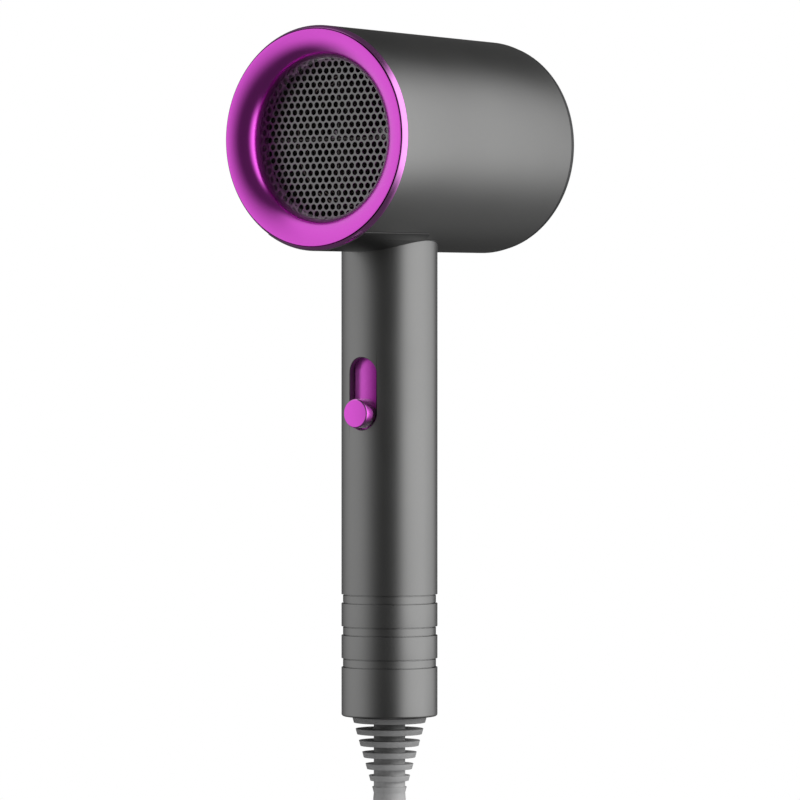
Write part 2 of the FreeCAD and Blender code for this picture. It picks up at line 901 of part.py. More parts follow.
def make_barrel_shell():
    edge = size.barrel_edge
    corners = [(barrel_bore, -size.barrel_front), (barrel_front_radius, -size.barrel_front)]
    corners += [(size.barrel_radius, size.barrel_rear - edge), (size.barrel_radius - edge, size.barrel_rear)]
    corners.append((barrel_bore, size.barrel_rear))
    way = round_bar(neck_outer + size.run_gap, size.barrel_height / 2, z=axis - size.barrel_height / 2)
    node("barrel_shell", cut(on_barrel(corners), way))


def bell_arcs():
    """The large arc's radius, and where it meets the small arc of the bell mouth."""
    small = size.bell_throat_arc
    long_side = size.bell_width * size.bell_width + size.bell_length * size.bell_length
    large = (long_side - 2 * size.bell_width * small) / (2 * size.bell_length - 2 * small)
    share = large / (large - small)
    meet_radius = ring_lip_radius - share * (size.bell_width - small)
    meet_place = large - ring_front - share * (large - size.bell_length)
    return large, meet_radius, meet_place


def make_front_ring():
    large, meet_radius, meet_place = bell_arcs()
    step = size.ring_step - ring_front
    spigot_end = size.spigot_length - size.barrel_front
    spigot_inner = spigot_radius - size.spigot_wall
    node("front_ring", on_barrel([
        (throat_radius, -grille_face),
        (throat_radius, size.bell_length - ring_front, size.bell_throat_arc, 1),
        (meet_radius, meet_place, large, 1),
        (ring_lip_radius, -ring_front),
        (ring_lip_radius, step),
        (ring_band_radius, step, size.ring_band_arc, -1),
        (barrel_front_radius, -size.barrel_front),
        (spigot_radius, -size.barrel_front),
        (spigot_radius, spigot_end),
        (spigot_inner, spigot_end),
        (spigot_inner, -ring_web_back),
        (throat_outer, -ring_web_back),
        (throat_outer, -grille_face),
    ]))


def make_front_grille():
    pitch = size.grille_pitch.value
    hole = size.grille_hole_radius.value
    field = (throat_radius - size.grille_margin).value - hole
    row_step = pitch * math.sqrt(3) / 2
    rows = int(field / row_step)
    columns = int(field / pitch) + 1
    forward = FreeCAD.Vector(0, -1, 0)
    wires = [Part.Wire(Part.Circle(FreeCAD.Vector(), forward, throat_outer.value).toShape())]
    for row in range(-rows, rows + 1):
        for column in range(-columns, columns + 1):
            centre = FreeCAD.Vector((column + row % 2 / 2) * pitch, 0, row * row_step)
            if centre.Length <= field:
                wires.append(Part.Wire(Part.Circle(centre, forward, hole).toShape()))
    plate = Part.Face(wires, "Part::FaceMakerBullseye").extrude(forward * size.grille_thickness.value)
    grille = plain_feature("front_grille", plate)
    grille.Placement = FreeCAD.Placement(FreeCAD.Vector(0, -grille_back.value, axis.value), UPRIGHT)


def make_retainer():
    liner_seat = liner_outer + size.fit_gap
    node("grille_retainer", on_barrel([
        (retainer_inner, -grille_back),
        (spigot_radius, -grille_back),
        (spigot_radius, size.retainer_lip - retainer_back),
        (liner_seat, size.retainer_lip - retainer_back),
        (liner_seat, -retainer_back),
        (retainer_inner, -retainer_back),
    ]))


# ---- heater ----


def make_heater():
    length = liner_rear + retainer_back
    tube = round_bar(liner_outer, length, 0, -retainer_back, axis, REARWARD)
    inside = round_bar(liner_inner, length, 0, -retainer_back, axis, REARWARD)
    way = round_bar(neck_inner, size.barrel_height, z=foot)
    node("heater_liner", cut(tube, inside, way))
    level = mica_board(-mica_front)
    upright = mica_board((mica_rear - mica_front) / 2)
    node("heater_board_level", copied(level, UPRIGHT, z=axis))
    node("heater_board_upright", copied(upright, SIDEWAYS, z=axis))
    rings = []
    for index in range(coil_count):
        ring = document.addObject("Part::Torus", "coil")
        bound(ring, "Radius1", size.mica_half_width + size.coil_wire_radius + size.fit_gap / 2)
        bound(ring, "Radius2", size.coil_wire_radius)
        rings.append(placed(ring, 0, size.coil_pitch * index - coil_first, axis, REARWARD))
    node("heating_coils", group(*rings))


def mica_board(slot_start):
    """A level mica board with wings at both ends and a halving slot half as long as the board."""
    half = size.mica_thickness / 2
    wing = liner_inner - size.loose_gap
    up = (-half, half)
    middle = block((-size.mica_half_width, size.mica_half_width), (-mica_front, mica_rear), up)
    front = block((-wing, wing), (-mica_front, size.mica_wing - mica_front), up)
    rear = block((-wing, wing), (mica_rear - size.mica_wing, mica_rear), up)
    slot_half = half + size.fit_gap / 2
    slot_length = (mica_front + mica_rear) / 2
    through = half + size.cut_past
    slot = block((-slot_half, slot_half), (slot_start, slot_start + slot_length), (-through, through))
    return cut(fused(middle, front, rear), slot)


def make_heater_guards():
    top = axis + size.mica_thickness / 2
    half = size.thermostat_length / 2
    front = -size.guard_offset
    middle = size.guard_offset
    height = (top, top + size.thermostat_height)
    node("thermostat", block((middle - half, middle + half), (front - half, front + half), height))
    fuse_middle = top + size.fuse_radius
    fuse = round_bar(size.fuse_radius, size.fuse_length, -middle, front - half, fuse_middle, REARWARD)
    node("thermal_fuse", fuse)


# ---- fan duct, motor and impeller ----


def make_fan_duct():
    duct_length = duct_rear - duct_front
    tube = cut(
        round_bar(duct_outer, duct_length, 0, duct_front, axis, REARWARD),
        round_bar(duct_inner, duct_length, 0, duct_front, axis, REARWARD),
    )
    cup = on_barrel([
        (cup_inner, motor_front + size.cup_lead),
        (cup_outer, motor_front + size.cup_lead),
        (cup_outer, cup_rear),
        (size.cup_hole, cup_rear),
        (size.cup_hole, motor_rear),
        (cup_inner, motor_rear),
    ])
    half = size.vane_thickness / 2
    start = motor_front + size.vane_start
    height = (cup_outer - size.vane_root, duct_inner + size.vane_root)
    vane = block((-half, half), (start, start + size.vane_length), height)
    node("fan_duct", fused(tube, cup, *ring_of(vane, vane_count, axis)))


def make_motor():
    hole = size.bush_radius
    wall_front = motor_rear - size.motor_wall
    can = on_barrel([
        (motor_bore, motor_front),
        (size.motor_radius, motor_front),
        (size.motor_radius, motor_rear),
        (hole, motor_rear),
        (hole, wall_front),
        (motor_bore, wall_front),
    ])
    node("motor_can", can)
    node("motor_end_cap", on_barrel([
        (hole, motor_front),
        (motor_bore, motor_front),
        (motor_bore, cap_rear),
        (hole, cap_rear),
    ]))
    step = size.bush_flange_thickness
    rear_end = motor_rear + size.loose_gap
    rear_bush = on_barrel([
        (motor_hole, wall_front - step),
        (size.bush_flange_radius, wall_front - step),
        (size.bush_flange_radius, wall_front),
        (hole, wall_front),
        (hole, rear_end),
        (motor_hole, rear_end),
    ])
    front_end = cap_rear + step - size.bush_length
    front_bush = on_barrel([
        (motor_hole, front_end),
        (hole, front_end),
        (hole, cap_rear),
        (size.bush_flange_radius, cap_rear),
        (size.bush_flange_radius, cap_rear + step),
        (motor_hole, cap_rear + step),
    ])
    node("motor_bushes", group(front_bush, rear_bush))
    start = cap_rear + size.magnet_front_gap
    length = wall_front - size.magnet_rear_gap - start
    place = (0, start, axis, REARWARD)
    magnet_inner = motor_bore - size.magnet_thickness
    tube = cut(round_bar(motor_bore, length, *place), round_bar(magnet_inner, length, *place))
    gap = block(
        (-size.motor_radius, size.motor_radius),
        (start - size.cut_past, start + length + size.cut_past),
        (axis - size.magnet_gap / 2, axis + size.magnet_gap / 2),
    )
    node("motor_magnets", cut(tube, gap))
    board_radius = size.motor_radius - size.motor_board_inset
    board_place = (size.board_thickness, 0, motor_front - size.board_thickness, axis, REARWARD)
    board = cut(round_bar(board_radius, *board_place), round_bar(hole + size.run_gap, *board_place))
    node("motor_board", board)


def make_armature():
    shaft = round_bar(size.shaft_radius, shaft_rear - shaft_front, 0, shaft_front, axis, REARWARD)
    node("motor_shaft", shaft)
    stack = on_shaft(stack_radius, stack_front, stack_rear)
    half = size.stack_slot / 2
    slot = block(
        (-half, half),
        (stack_front - size.cut_past, stack_rear + size.cut_past),
        (stack_radius / 2, stack_radius + size.cut_past),
    )
    node("armature_stack", cut(stack, *ring_of(slot, stack_slot_count, axis)))
    coil_end = stack_radius - size.coil_end_step
    front_end = on_shaft(coil_end, commutator_rear, stack_front)
    rear_end = on_shaft(coil_end, stack_rear, stack_rear + size.coil_end_length)
    node("armature_windings", group(front_end, rear_end))
    node("commutator", on_shaft(size.commutator_radius, commutator_front, commutator_rear))


def on_shaft(outer, front, rear):
    """A plain ring seated on the motor shaft."""
    inner = size.shaft_radius
    return on_barrel([(inner, front), (outer, front), (outer, rear), (inner, rear)])


def make_impeller():
    cavity_rear = hub_rear - size.hub_wall
    hub_inner = size.hub_radius - size.hub_wall
    hub = on_barrel([
        (size.shaft_radius, hub_front),
        (size.hub_boss_radius, hub_front),
        (size.hub_boss_radius, cavity_rear),
        (hub_inner, cavity_rear),
        (hub_inner, hub_front),
        (size.hub_radius, hub_front),
        (size.hub_radius, cavity_rear),
        (hub_inner, hub_rear),
        (0, hub_rear),
        (0, shaft_rear),
        (size.shaft_radius, shaft_rear),
    ])
    tip = duct_inner - size.blade_tip_gap
    half = size.blade_thickness / 2
    half_chord = size.blade_chord / 2
    height = (size.hub_radius - size.blade_root, tip + size.cut_past)
    flat = block((-half, half), (-half_chord, half_chord), height)
    pitch = FreeCAD.Rotation(FreeCAD.Vector(0, 0, 1), blade_angle)
    pitched = copied(flat, pitch, 0, hub_front + size.hub_length / 2)
    rim = round_bar(tip, size.blade_chord * 2, 0, hub_front - half_chord, 0, REARWARD)
    wheel = fused(hub, *ring_of(common(pitched, rim), blade_count, axis))
    wheel.Refine = False
    node("fan_impeller", wheel)


# ---- rear cover and filter ----


def make_rear_cover():
    rim = size.barrel_radius - size.cover_rim_inset
    cap = on_barrel([
        (0, cover_plate_front),
        (skirt_inner, cover_plate_front),
        (skirt_inner, skirt_front),
        (spigot_radius, skirt_front),
        (spigot_radius, size.barrel_rear),
        (rim, size.barrel_rear),
        (rim, cover_rear - size.cover_rim_round),
        (rim - size.cover_rim_round, cover_rear),
        (0, cover_rear),
    ])
    vent_count = int((skirt_inner - size.vent_first_radius).value / size.vent_pitch.value)
    place = (size.cover_plate + size.cut_past * 2, 0, cover_plate_front - size.cut_past, axis, REARWARD)
    vents = []
    for index in range(vent_count):
        inner = size.vent_first_radius + size.vent_pitch * index
        vents.append(cut(round_bar(inner + size.vent_width, *place), round_bar(inner, *place)))
    half = size.spoke_width / 2
    reach = size.vent_first_radius + size.vent_pitch * vent_count
    start = size.vent_first_radius - size.cut_past
    spoke = block((-half, half), (cover_plate_front, cover_rear), (start, reach))
    node("rear_cover", fused(cut(cap, *vents), *ring_of(spoke, spoke_count, axis)))
    mesh_front = cover_plate_front - size.filter_thickness
    mesh_radius = skirt_inner - size.loose_gap
    node("intake_filter", round_bar(mesh_radius, size.filter_thickness, 0, mesh_front, axis, REARWARD))


# ---- cord, wires, hank and plug ----


def below_relief(route):
    """Points given below the strain relief's end, as vectors."""
    return [FreeCAD.Vector(x, y, sleeve_end.value + z) for x, y, z in route]


def in_handle(route, side):
    """Points of an inner wire, each measured from its own level, as vectors."""
    return [FreeCAD.Vector(side * x, y, levels[name].value + above) for x, y, name, above in route]


def make_wires():
    inner = round_bar(size.cord_radius, foot + size.cord_inner_top - sleeve_end, z=sleeve_end)
    node("cord_inner_end", inner)
    for label, route, radius in (
        ("inner_wires", wire_route, size.mains_wire_radius),
        ("motor_leads", motor_lead_route, size.motor_lead_radius),
    ):
        wires = [tube_shape(in_handle(route, side), radius.value, label) for side in (-1, 1)]
        plain_feature(label, Part.makeCompound(wires))


def make_cord():
    lead = tube_shape(below_relief(lead_route), size.cord_radius.value, "cord lead")
    plain_feature("cord_lead", lead)
    tail = tube_shape(below_relief(tail_route), size.cord_radius.value, "cord tail")
    plain_feature("cord_tail", tail)
    up = hank_circle
    waist_up = size.tie_height / 2 + size.cut_past
    shoulder = up - size.hank_shoulder
    corners = [
        (size.hank_waist, -waist_up),
        (size.hank_waist, waist_up),
        (hank_outer, shoulder),
        (hank_outer, up, hank_outer, -1),
        (0, up + hank_outer, hank_outer, -1),
        (-hank_outer, up),
        (-hank_outer, shoulder),
        (-size.hank_waist, waist_up),
        (-size.hank_waist, -waist_up),
        (-hank_outer, -shoulder),
        (-hank_outer, -up, hank_outer, -1),
        (0, -up - hank_outer, hank_outer, -1),
        (hank_outer, -up),
        (hank_outer, -shoulder),
    ]
    body = padded(corners, size.hank_half_depth * 2, z=hank_middle)
    eyes = []
    for place in (hank_middle + up, hank_middle - up):
        start = -size.hank_half_depth - size.cut_past
        length = (size.hank_half_depth + size.cut_past) * 2
        eyes.append(round_bar(hank_eye, length, 0, start, place, REARWARD))
    node("cord_hank", cut(body, *eyes))
    low = hank_middle - size.tie_height / 2
    high = hank_middle + size.tie_height / 2
    thick = size.tie_thickness
    outer = block(
        (-size.hank_waist - thick, size.hank_waist + thick),
        (-size.hank_half_depth - thick, size.hank_half_depth + thick),
        (low, high),
    )
    inner = block(
        (-size.hank_waist, size.hank_waist),
        (-size.hank_half_depth, size.hank_half_depth),
        (low - size.cut_past, high + size.cut_past),
    )
    node("hank_tie", cut(outer, inner))


def make_plug():
    x, y, z = tail_route[-1]
    top = sleeve_end + z
    neck_end = size.plug_neck_length
    grip_end = neck_end + size.plug_shoulder_length
    face = grip_end + size.plug_face_length
    body = turned([
        (0, 0),
        (size.plug_neck_radius - size.plug_neck_taper, 0),
        (size.plug_neck_radius, neck_end),
        (size.plug_grip_radius, neck_end + size.plug_shoulder_rise),
        (size.plug_radius, grip_end),
        (size.plug_radius, face - size.plug_edge),
        (size.plug_radius - size.plug_edge, face),
        (0, face),
    ], x, y, top, DOWNWARD)
    notches = []
    half = size.plug_notch_width / 2
    inner = size.plug_radius - size.plug_notch_depth
    outer = size.plug_radius + size.cut_past
    height = (top - face - size.cut_past, top - grip_end)
    for along in ((y - outer, y - inner), (y + inner, y + outer)):
        notches.append(block((x - half, x + half), along, height))
    node("plug_body", cut(body, *notches))
    pins = []
    tip = size.plug_pin_tip
    for side in (-1, 1):
        pins.append(turned([
            (0, 0),
            (size.plug_pin_radius, 0),
            (size.plug_pin_radius, size.plug_pin_length - tip),
            (size.plug_pin_radius - tip, size.plug_pin_length),
            (0, size.plug_pin_length),
        ], x + side * size.plug_pin_spacing / 2, y, top - face, DOWNWARD))
    node("plug_pins", group(*pins))


make_handle_tube()
make_chassis()
make_switch()
make_slide()
make_control_board()
make_cord_clamp()
make_end_cap()
make_chassis_screws()
make_strain_relief()
make_neck()
make_saddle()
make_barrel_shell()
make_front_ring()
make_front_grille()
make_retainer()
make_heater()
make_heater_guards()
make_fan_duct()
make_motor()
make_armature()
make_impeller()
make_rear_cover()
make_wires()
make_cord()
make_plug()

document.recompute()
for item in document.Objects:
    if "Invalid" in item.State or "Error" in item.State:
        raise RuntimeError(f"{item.Label} ({item.Name}) failed: {item.State}")
os.makedirs("parts", exist_ok=True)
for label, item in nodes.items():
    shape = item.Shape
    if shape.isNull() or not shape.isValid():
        raise RuntimeError(f"{label} has no valid shape")
    shape.exportStep(f"parts/{label}.step")
    print(f"{label}: {len(shape.Solids)} solid(s), {shape.Volume / 1000:.2f} cm3")
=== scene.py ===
import json
import math

import bmesh
import bpy
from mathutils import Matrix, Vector


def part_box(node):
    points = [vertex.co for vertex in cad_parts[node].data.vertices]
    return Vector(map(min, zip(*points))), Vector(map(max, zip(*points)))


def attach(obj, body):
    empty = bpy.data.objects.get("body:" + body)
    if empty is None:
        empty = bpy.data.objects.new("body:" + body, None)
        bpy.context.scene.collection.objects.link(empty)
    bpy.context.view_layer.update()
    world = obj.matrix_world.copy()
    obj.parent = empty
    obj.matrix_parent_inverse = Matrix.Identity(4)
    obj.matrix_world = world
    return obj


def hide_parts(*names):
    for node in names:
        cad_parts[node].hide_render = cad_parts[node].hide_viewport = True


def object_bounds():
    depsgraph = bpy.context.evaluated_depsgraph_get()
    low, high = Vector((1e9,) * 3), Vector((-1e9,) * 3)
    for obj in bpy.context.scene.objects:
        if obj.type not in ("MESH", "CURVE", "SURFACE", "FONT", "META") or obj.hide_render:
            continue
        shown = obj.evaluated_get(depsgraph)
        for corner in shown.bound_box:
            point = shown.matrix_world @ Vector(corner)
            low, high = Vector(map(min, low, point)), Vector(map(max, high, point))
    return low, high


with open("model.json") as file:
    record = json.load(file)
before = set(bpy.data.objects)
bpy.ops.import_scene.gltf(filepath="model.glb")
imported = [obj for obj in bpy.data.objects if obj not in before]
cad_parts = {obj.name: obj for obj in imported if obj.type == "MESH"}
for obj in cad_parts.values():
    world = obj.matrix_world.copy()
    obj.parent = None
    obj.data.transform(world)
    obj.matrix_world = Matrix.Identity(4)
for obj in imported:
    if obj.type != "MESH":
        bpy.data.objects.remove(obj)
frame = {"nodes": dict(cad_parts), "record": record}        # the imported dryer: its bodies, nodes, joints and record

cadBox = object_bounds()
nodes = frame["nodes"]
mm = 0.001
fullTurn = 2 * math.pi

# Places that the frame gives. Barrel places run along Y from the handle's axis.
barrelLow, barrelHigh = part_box("barrel_shell")
ringLow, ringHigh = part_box("front_ring")
grilleLow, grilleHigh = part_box("front_grille")
handleLow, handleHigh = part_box("handle_tube")
slideLow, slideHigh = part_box("slide_plate")
knobLow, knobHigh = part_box("switch_knob")
reliefLow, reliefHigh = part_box("strain_relief")
filterLow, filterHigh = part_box("intake_filter")
hankLow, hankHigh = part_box("cord_hank")
tieLow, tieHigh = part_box("hank_tie")
plugLow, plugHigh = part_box("plug_body")
pinsLow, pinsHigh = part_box("plug_pins")

axisZ = (barrelLow.z + barrelHigh.z) / 2
barrelRadius = (barrelHigh.z - barrelLow.z) / 2
handleRadius = handleHigh.x
footZ = handleLow.z
knobZ = (knobLow.z + knobHigh.z) / 2


# Working in the editor

def deselectAll():
    if bpy.context.object and bpy.context.object.mode != "OBJECT":
        bpy.ops.object.mode_set(mode="OBJECT")
    bpy.ops.object.select_all(action="DESELECT")


def makeActive(piece):
    deselectAll()
    piece.select_set(True)
    bpy.context.view_layer.objects.active = piece


def openMesh(piece, kind="VERT"):
    makeActive(piece)
    bpy.ops.object.mode_set(mode="EDIT")
    bpy.ops.mesh.select_mode(type=kind)


def closeMesh():
    bpy.ops.object.mode_set(mode="OBJECT")


def closeTidied(merge=0):
    # merges doubles where a distance is given, and turns the faces outwards
    bpy.ops.mesh.select_all(action="SELECT")
    if merge:
        bpy.ops.mesh.remove_doubles(threshold=merge)
    bpy.ops.mesh.normals_make_consistent(inside=False)
    closeMesh()


def pick(piece, kind, test):
    # selects the vertices, edges or faces whose middle point passes the test
    openMesh(piece, kind)
    bpy.ops.mesh.select_all(action="DESELECT")
    shape = bmesh.from_edit_mesh(piece.data)
    if kind == "VERT":
        for corner in shape.verts:
            corner.select_set(test(corner.co))
    elif kind == "EDGE":
        for edge in shape.edges:
            edge.select_set(test(edge.verts[0].co) and test(edge.verts[1].co))
    else:
        for face in shape.faces:
            face.select_set(test(face.calc_center_median()))
    bmesh.update_edit_mesh(piece.data)


def modify(piece, kind, **settings):
    makeActive(piece)
    step = piece.modifiers.new(kind.lower(), kind)
    for key, value in settings.items():
        setattr(step, key, value)
    bpy.ops.object.modifier_apply(modifier=step.name)
    return piece


def bevelEdges(piece, width, segments=3, angle=35):
    return modify(piece, "BEVEL", width=width, segments=segments, limit_method="ANGLE",
                  angle_limit=math.radians(angle))


def settle(piece):
    # leaves the object at the origin, with its place in its mesh
    makeActive(piece)
    bpy.ops.object.transform_apply(location=True, rotation=True, scale=True)
    return piece


def cutAway(piece, tool, operation="DIFFERENCE"):
    modify(piece, "BOOLEAN", object=tool, operation=operation, solver="EXACT")
    bpy.data.objects.remove(tool)
    return piece


def joinPieces(first, *others):
    makeActive(first)
    for other in others:
        other.select_set(True)
    bpy.ops.object.join()
    return first


def copyOf(piece, name):
    twin = piece.copy()
    twin.data = piece.data.copy()
    twin.name = name
    bpy.context.scene.collection.objects.link(twin)
    return twin


def smooth(piece, angle=30):
    makeActive(piece)
    bpy.ops.object.shade_smooth_by_angle(angle=math.radians(angle))
    return piece


def tracedLine(name, points):
    # edges from point to point; the piece is left open for editing, with all of it selected
    deselectAll()
    bpy.ops.mesh.primitive_plane_add(size=mm)
    piece = bpy.context.object
    piece.name = name
    openMesh(piece)
    bpy.ops.mesh.select_all(action="SELECT")
    bpy.ops.mesh.merge(type="CENTER")
    bpy.ops.transform.translate(value=points[0])
    for before, after in zip(points, points[1:]):
        step = [end - start for start, end in zip(before, after)]
        bpy.ops.mesh.extrude_vertices_move(TRANSFORM_OT_translate={"value": step})
    bpy.ops.mesh.select_all(action="SELECT")
    return piece


def turnedPiece(name, outline, sides=192):
    # the outline holds (radius, height) points, one after the other, spun about Z
    piece = tracedLine(name, [(radius, 0, height) for radius, height in outline])
    bpy.ops.mesh.spin(steps=sides, angle=fullTurn, center=(0, 0, 0), axis=(0, 0, 1))
    closeTidied(mm / 200)
    return piece


def layOnBarrel(piece, along=0):
    # turns a piece made about Z so that it lies about the barrel's axis, rear towards +Y
    piece.rotation_euler = (-math.pi / 2, 0, 0)
    piece.location = (0, along, axisZ)
    return settle(piece)


def arc(centre, radii, start, end, steps):
    # points of an ellipse's arc, from one angle to another in degrees
    points = []
    for index in range(steps + 1):
        angle = math.radians(start + (end - start) * index / steps)
        points.append((centre[0] + radii[0] * math.cos(angle), centre[1] + radii[1] * math.sin(angle)))
    return points


def paintPicked(piece, material):
    # gives the faces that are picked a second finish
    piece.data.materials.append(material)
    piece.active_material_index = len(piece.data.materials) - 1
    bpy.ops.object.material_slot_assign()
    closeMesh()


def dress(piece, body, material, replaced=(), angle=30):
    piece.data.materials.clear()
    piece.data.materials.append(material)
    if piece.type == "MESH":
        smooth(piece, angle)
    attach(piece, body)
    if replaced:
        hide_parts(*replaced)
    return piece


# Materials

def newMaterial(name, colour, metallic, roughness):
    material = bpy.data.materials.new(name)
    material.use_nodes = True
    shader = material.node_tree.nodes["Principled BSDF"]
    shader.inputs["Base Color"].default_value = (*colour, 1)
    shader.inputs["Metallic"].default_value = metallic
    shader.inputs["Roughness"].default_value = roughness
    return material, shader


def addNode(material, kind, **settings):
    made = material.node_tree.nodes.new(kind)
    for key, value in settings.items():
        setattr(made, key, value)
    return made


def link(material, source, target):
    material.node_tree.links.new(source, target)


def combine(material, operation, *sources):
    # one maths step on sockets and plain numbers
    made = addNode(material, "ShaderNodeMath", operation=operation)
    for socket, source in zip(made.inputs, sources):
        if isinstance(source, bpy.types.NodeSocket):
            link(material, source, socket)
        else:
            socket.default_value = source
    return made.outputs[0]


def noiseOn(material, scale, detail=2.0, stretch=(1, 1, 1)):
    place = addNode(material, "ShaderNodeTexCoord")
    mapping = addNode(material, "ShaderNodeMapping")
    mapping.inputs["Scale"].default_value = stretch
    noise = addNode(material, "ShaderNodeTexNoise")
    noise.inputs["Scale"].default_value = scale
    noise.inputs["Detail"].default_value = detail
    link(material, place.outputs["Object"], mapping.inputs["Vector"])
    link(material, mapping.outputs["Vector"], noise.inputs["Vector"])
    return noise.outputs["Fac"]


def spread(material, source, low, high, start=0.3, end=0.7):
    # maps a noise value to a range
    ranged = addNode(material, "ShaderNodeMapRange")
    ranged.inputs["From Min"].default_value = start
    ranged.inputs["From Max"].default_value = end
    ranged.inputs["To Min"].default_value = low
    ranged.inputs["To Max"].default_value = high
    link(material, source, ranged.inputs["Value"])
    return ranged.outputs["Result"]


def tint(material, shader, source, dark, light):
    ramp = addNode(material, "ShaderNodeValToRGB")
    ramp.color_ramp.elements[0].position = 0.35
    ramp.color_ramp.elements[0].color = (*dark, 1)
    ramp.color_ramp.elements[1].position = 0.65
    ramp.color_ramp.elements[1].color = (*light, 1)
    link(material, source, ramp.inputs["Fac"])
    link(material, ramp.outputs["Color"], shader.inputs["Base Color"])


def emboss(material, shader, source, depth, strength=1.0):
    bump = addNode(material, "ShaderNodeBump")
    bump.inputs["Distance"].default_value = depth
    bump.inputs["Strength"].default_value = strength
    link(material, source, bump.inputs["Height"])
    link(material, bump.outputs["Normal"], shader.inputs["Normal"])


def scaled(colour, factor):
    return tuple(min(1.0, part * factor) for part in colour)


def metallicPaint(name, colour, roughness, flake=9000, wear=45):
    # a satin paint with fine flakes and a slow drift in its gloss
    material, shader = newMaterial(name, colour, 1.0, roughness)
    tint(material, shader, noiseOn(material, flake, 1.0), scaled(colour, 0.95), scaled(colour, 1.05))
    drift = spread(material, noiseOn(material, wear, 4.0), roughness - 0.015, roughness + 0.02)
    link(material, drift, shader.inputs["Roughness"])
    emboss(material, shader, noiseOn(material, flake / 2, 2.0), 0.004 * mm, 0.25)
    return material


def mouldedPlastic(name, colour, roughness, grain=2600, depth=0.02):
    material, shader = newMaterial(name, colour, 0.0, roughness)
    tint(material, shader, noiseOn(material, grain / 12, 3.0), scaled(colour, 0.94), scaled(colour, 1.06))
    link(material, spread(material, noiseOn(material, grain / 30, 3.0), roughness - 0.04, roughness + 0.05),
         shader.inputs["Roughness"])
    emboss(material, shader, noiseOn(material, grain, 3.0), depth * mm, 0.35)
    return material


def paintedLightAlong(material, axis, start, end, first, last):
    # painted light and shade: a slow change of colour along one direction of the piece, lighter at one end and darker
    # at the other, with a little grain
    shader = material.node_tree.nodes["Principled BSDF"]
    place = addNode(material, "ShaderNodeTexCoord")
    parts = addNode(material, "ShaderNodeSeparateXYZ")
    link(material, place.outputs["Object"], parts.inputs[0])
    share = spread(material, parts.outputs[axis], 0, 1, start, end)
    grain = spread(material, noiseOn(material, 1500, 2.0), -0.03, 0.03)
    ramp = addNode(material, "ShaderNodeValToRGB")
    ramp.color_ramp.elements[0].color = (*first, 1)
    ramp.color_ramp.elements[1].color = (*last, 1)
    link(material, combine(material, "ADD", share, grain), ramp.inputs["Fac"])
    link(material, ramp.outputs["Color"], shader.inputs["Base Color"])


def brushedMetal(name, colour, roughness, stretch=(1, 1, 30), scale=900):
    material, shader = newMaterial(name, colour, 1.0, roughness)
    streaks = noiseOn(material, scale, 3.0, stretch)
    tint(material, shader, streaks, scaled(colour, 0.88), scaled(colour, 1.08))
    link(material, spread(material, streaks, roughness - 0.05, roughness + 0.08), shader.inputs["Roughness"])
    emboss(material, shader, streaks, 0.01 * mm, 0.3)
    return material


def flakyMica(name, colour):
    material, shader = newMaterial(name, colour, 0.0, 0.38)
    tint(material, shader, noiseOn(material, 260, 6.0), scaled(colour, 0.72), scaled(colour, 1.2))
    emboss(material, shader, noiseOn(material, 500, 5.0), 0.05 * mm, 0.4)
    return material


def wireMaterial(name, colour, roughness):
    material, shader = newMaterial(name, colour, 1.0, roughness)
    bands = addNode(material, "ShaderNodeTexWave", wave_type="BANDS", bands_direction="Y")
    bands.inputs["Scale"].default_value = 700
    bands.inputs["Distortion"].default_value = 1.5
    place = addNode(material, "ShaderNodeTexCoord")
    link(material, place.outputs["Object"], bands.inputs["Vector"])
    tint(material, shader, bands.outputs["Fac"], scaled(colour, 0.6), scaled(colour, 1.1))
    emboss(material, shader, bands.outputs["Fac"], 0.05 * mm, 0.6)
    return material


finishes = {
    "shellGrey": (0.262, 0.262, 0.26),
    # painted shade: a darker copy of the shell grey for the saddle under the barrel
    "saddleShadeGrey": (0.12, 0.12, 0.12),
    "magenta": (0.86, 0.04, 0.8),
    "magentaLacquer": {"Coat Weight": 1.0, "Coat IOR": 1.75, "Coat Roughness": 0.14,
                       "Sheen Weight": 0.5, "Sheen Roughness": 0.35},
    # painted highlight: a paler magenta for the ring's band and the knob's chamfer
    "paintedHighlightPink": (1.0, 0.34, 0.95),
    # painted shadow: a dark magenta for the fine groove of the front ring, where shade falls
    "groove": (0.2, 0.006, 0.18),
    # painted light and shade on the slide: a lighter magenta on its left side and a darker one on its right
    "slidePaintedHighlight": (1.0, 0.2, 0.95),
    "slidePaintedShade": (0.45, 0.012, 0.41),
    "slideMetallic": 0.85,
    "slidePaintedLightSpan": (-7 * mm, 6 * mm),
    # painted shade: the relief's rubber is darker at its top under the handle and lighter towards its end
    "rubberPaintedShadeTop": (0.165, 0.165, 0.165),
    "rubberEnd": (0.42, 0.42, 0.42),
}

shellPaint = metallicPaint("satinGreyPaint", finishes["shellGrey"], 0.37)
magentaPaint = metallicPaint("magentaPaint", finishes["magenta"], 0.22)
for socket, value in finishes["magentaLacquer"].items():
    magentaPaint.node_tree.nodes["Principled BSDF"].inputs[socket].default_value = value
highlightPaint = metallicPaint("magentaPaintedHighlight", finishes["paintedHighlightPink"], 0.2)
grooveShadowPaint = metallicPaint("grooveShadowMagenta", finishes["groove"], 0.3)
# the slide's magenta is painted light and shade: lighter on its left, darker on its right
slidePaintedLight = metallicPaint("slideMagentaPaintedLight", finishes["slidePaintedShade"], 0.34)
slidePaintedLight.node_tree.nodes["Principled BSDF"].inputs["Metallic"].default_value = finishes["slideMetallic"]
paintedLightAlong(slidePaintedLight, "X", *finishes["slidePaintedLightSpan"], finishes["slidePaintedHighlight"], finishes["slidePaintedShade"])
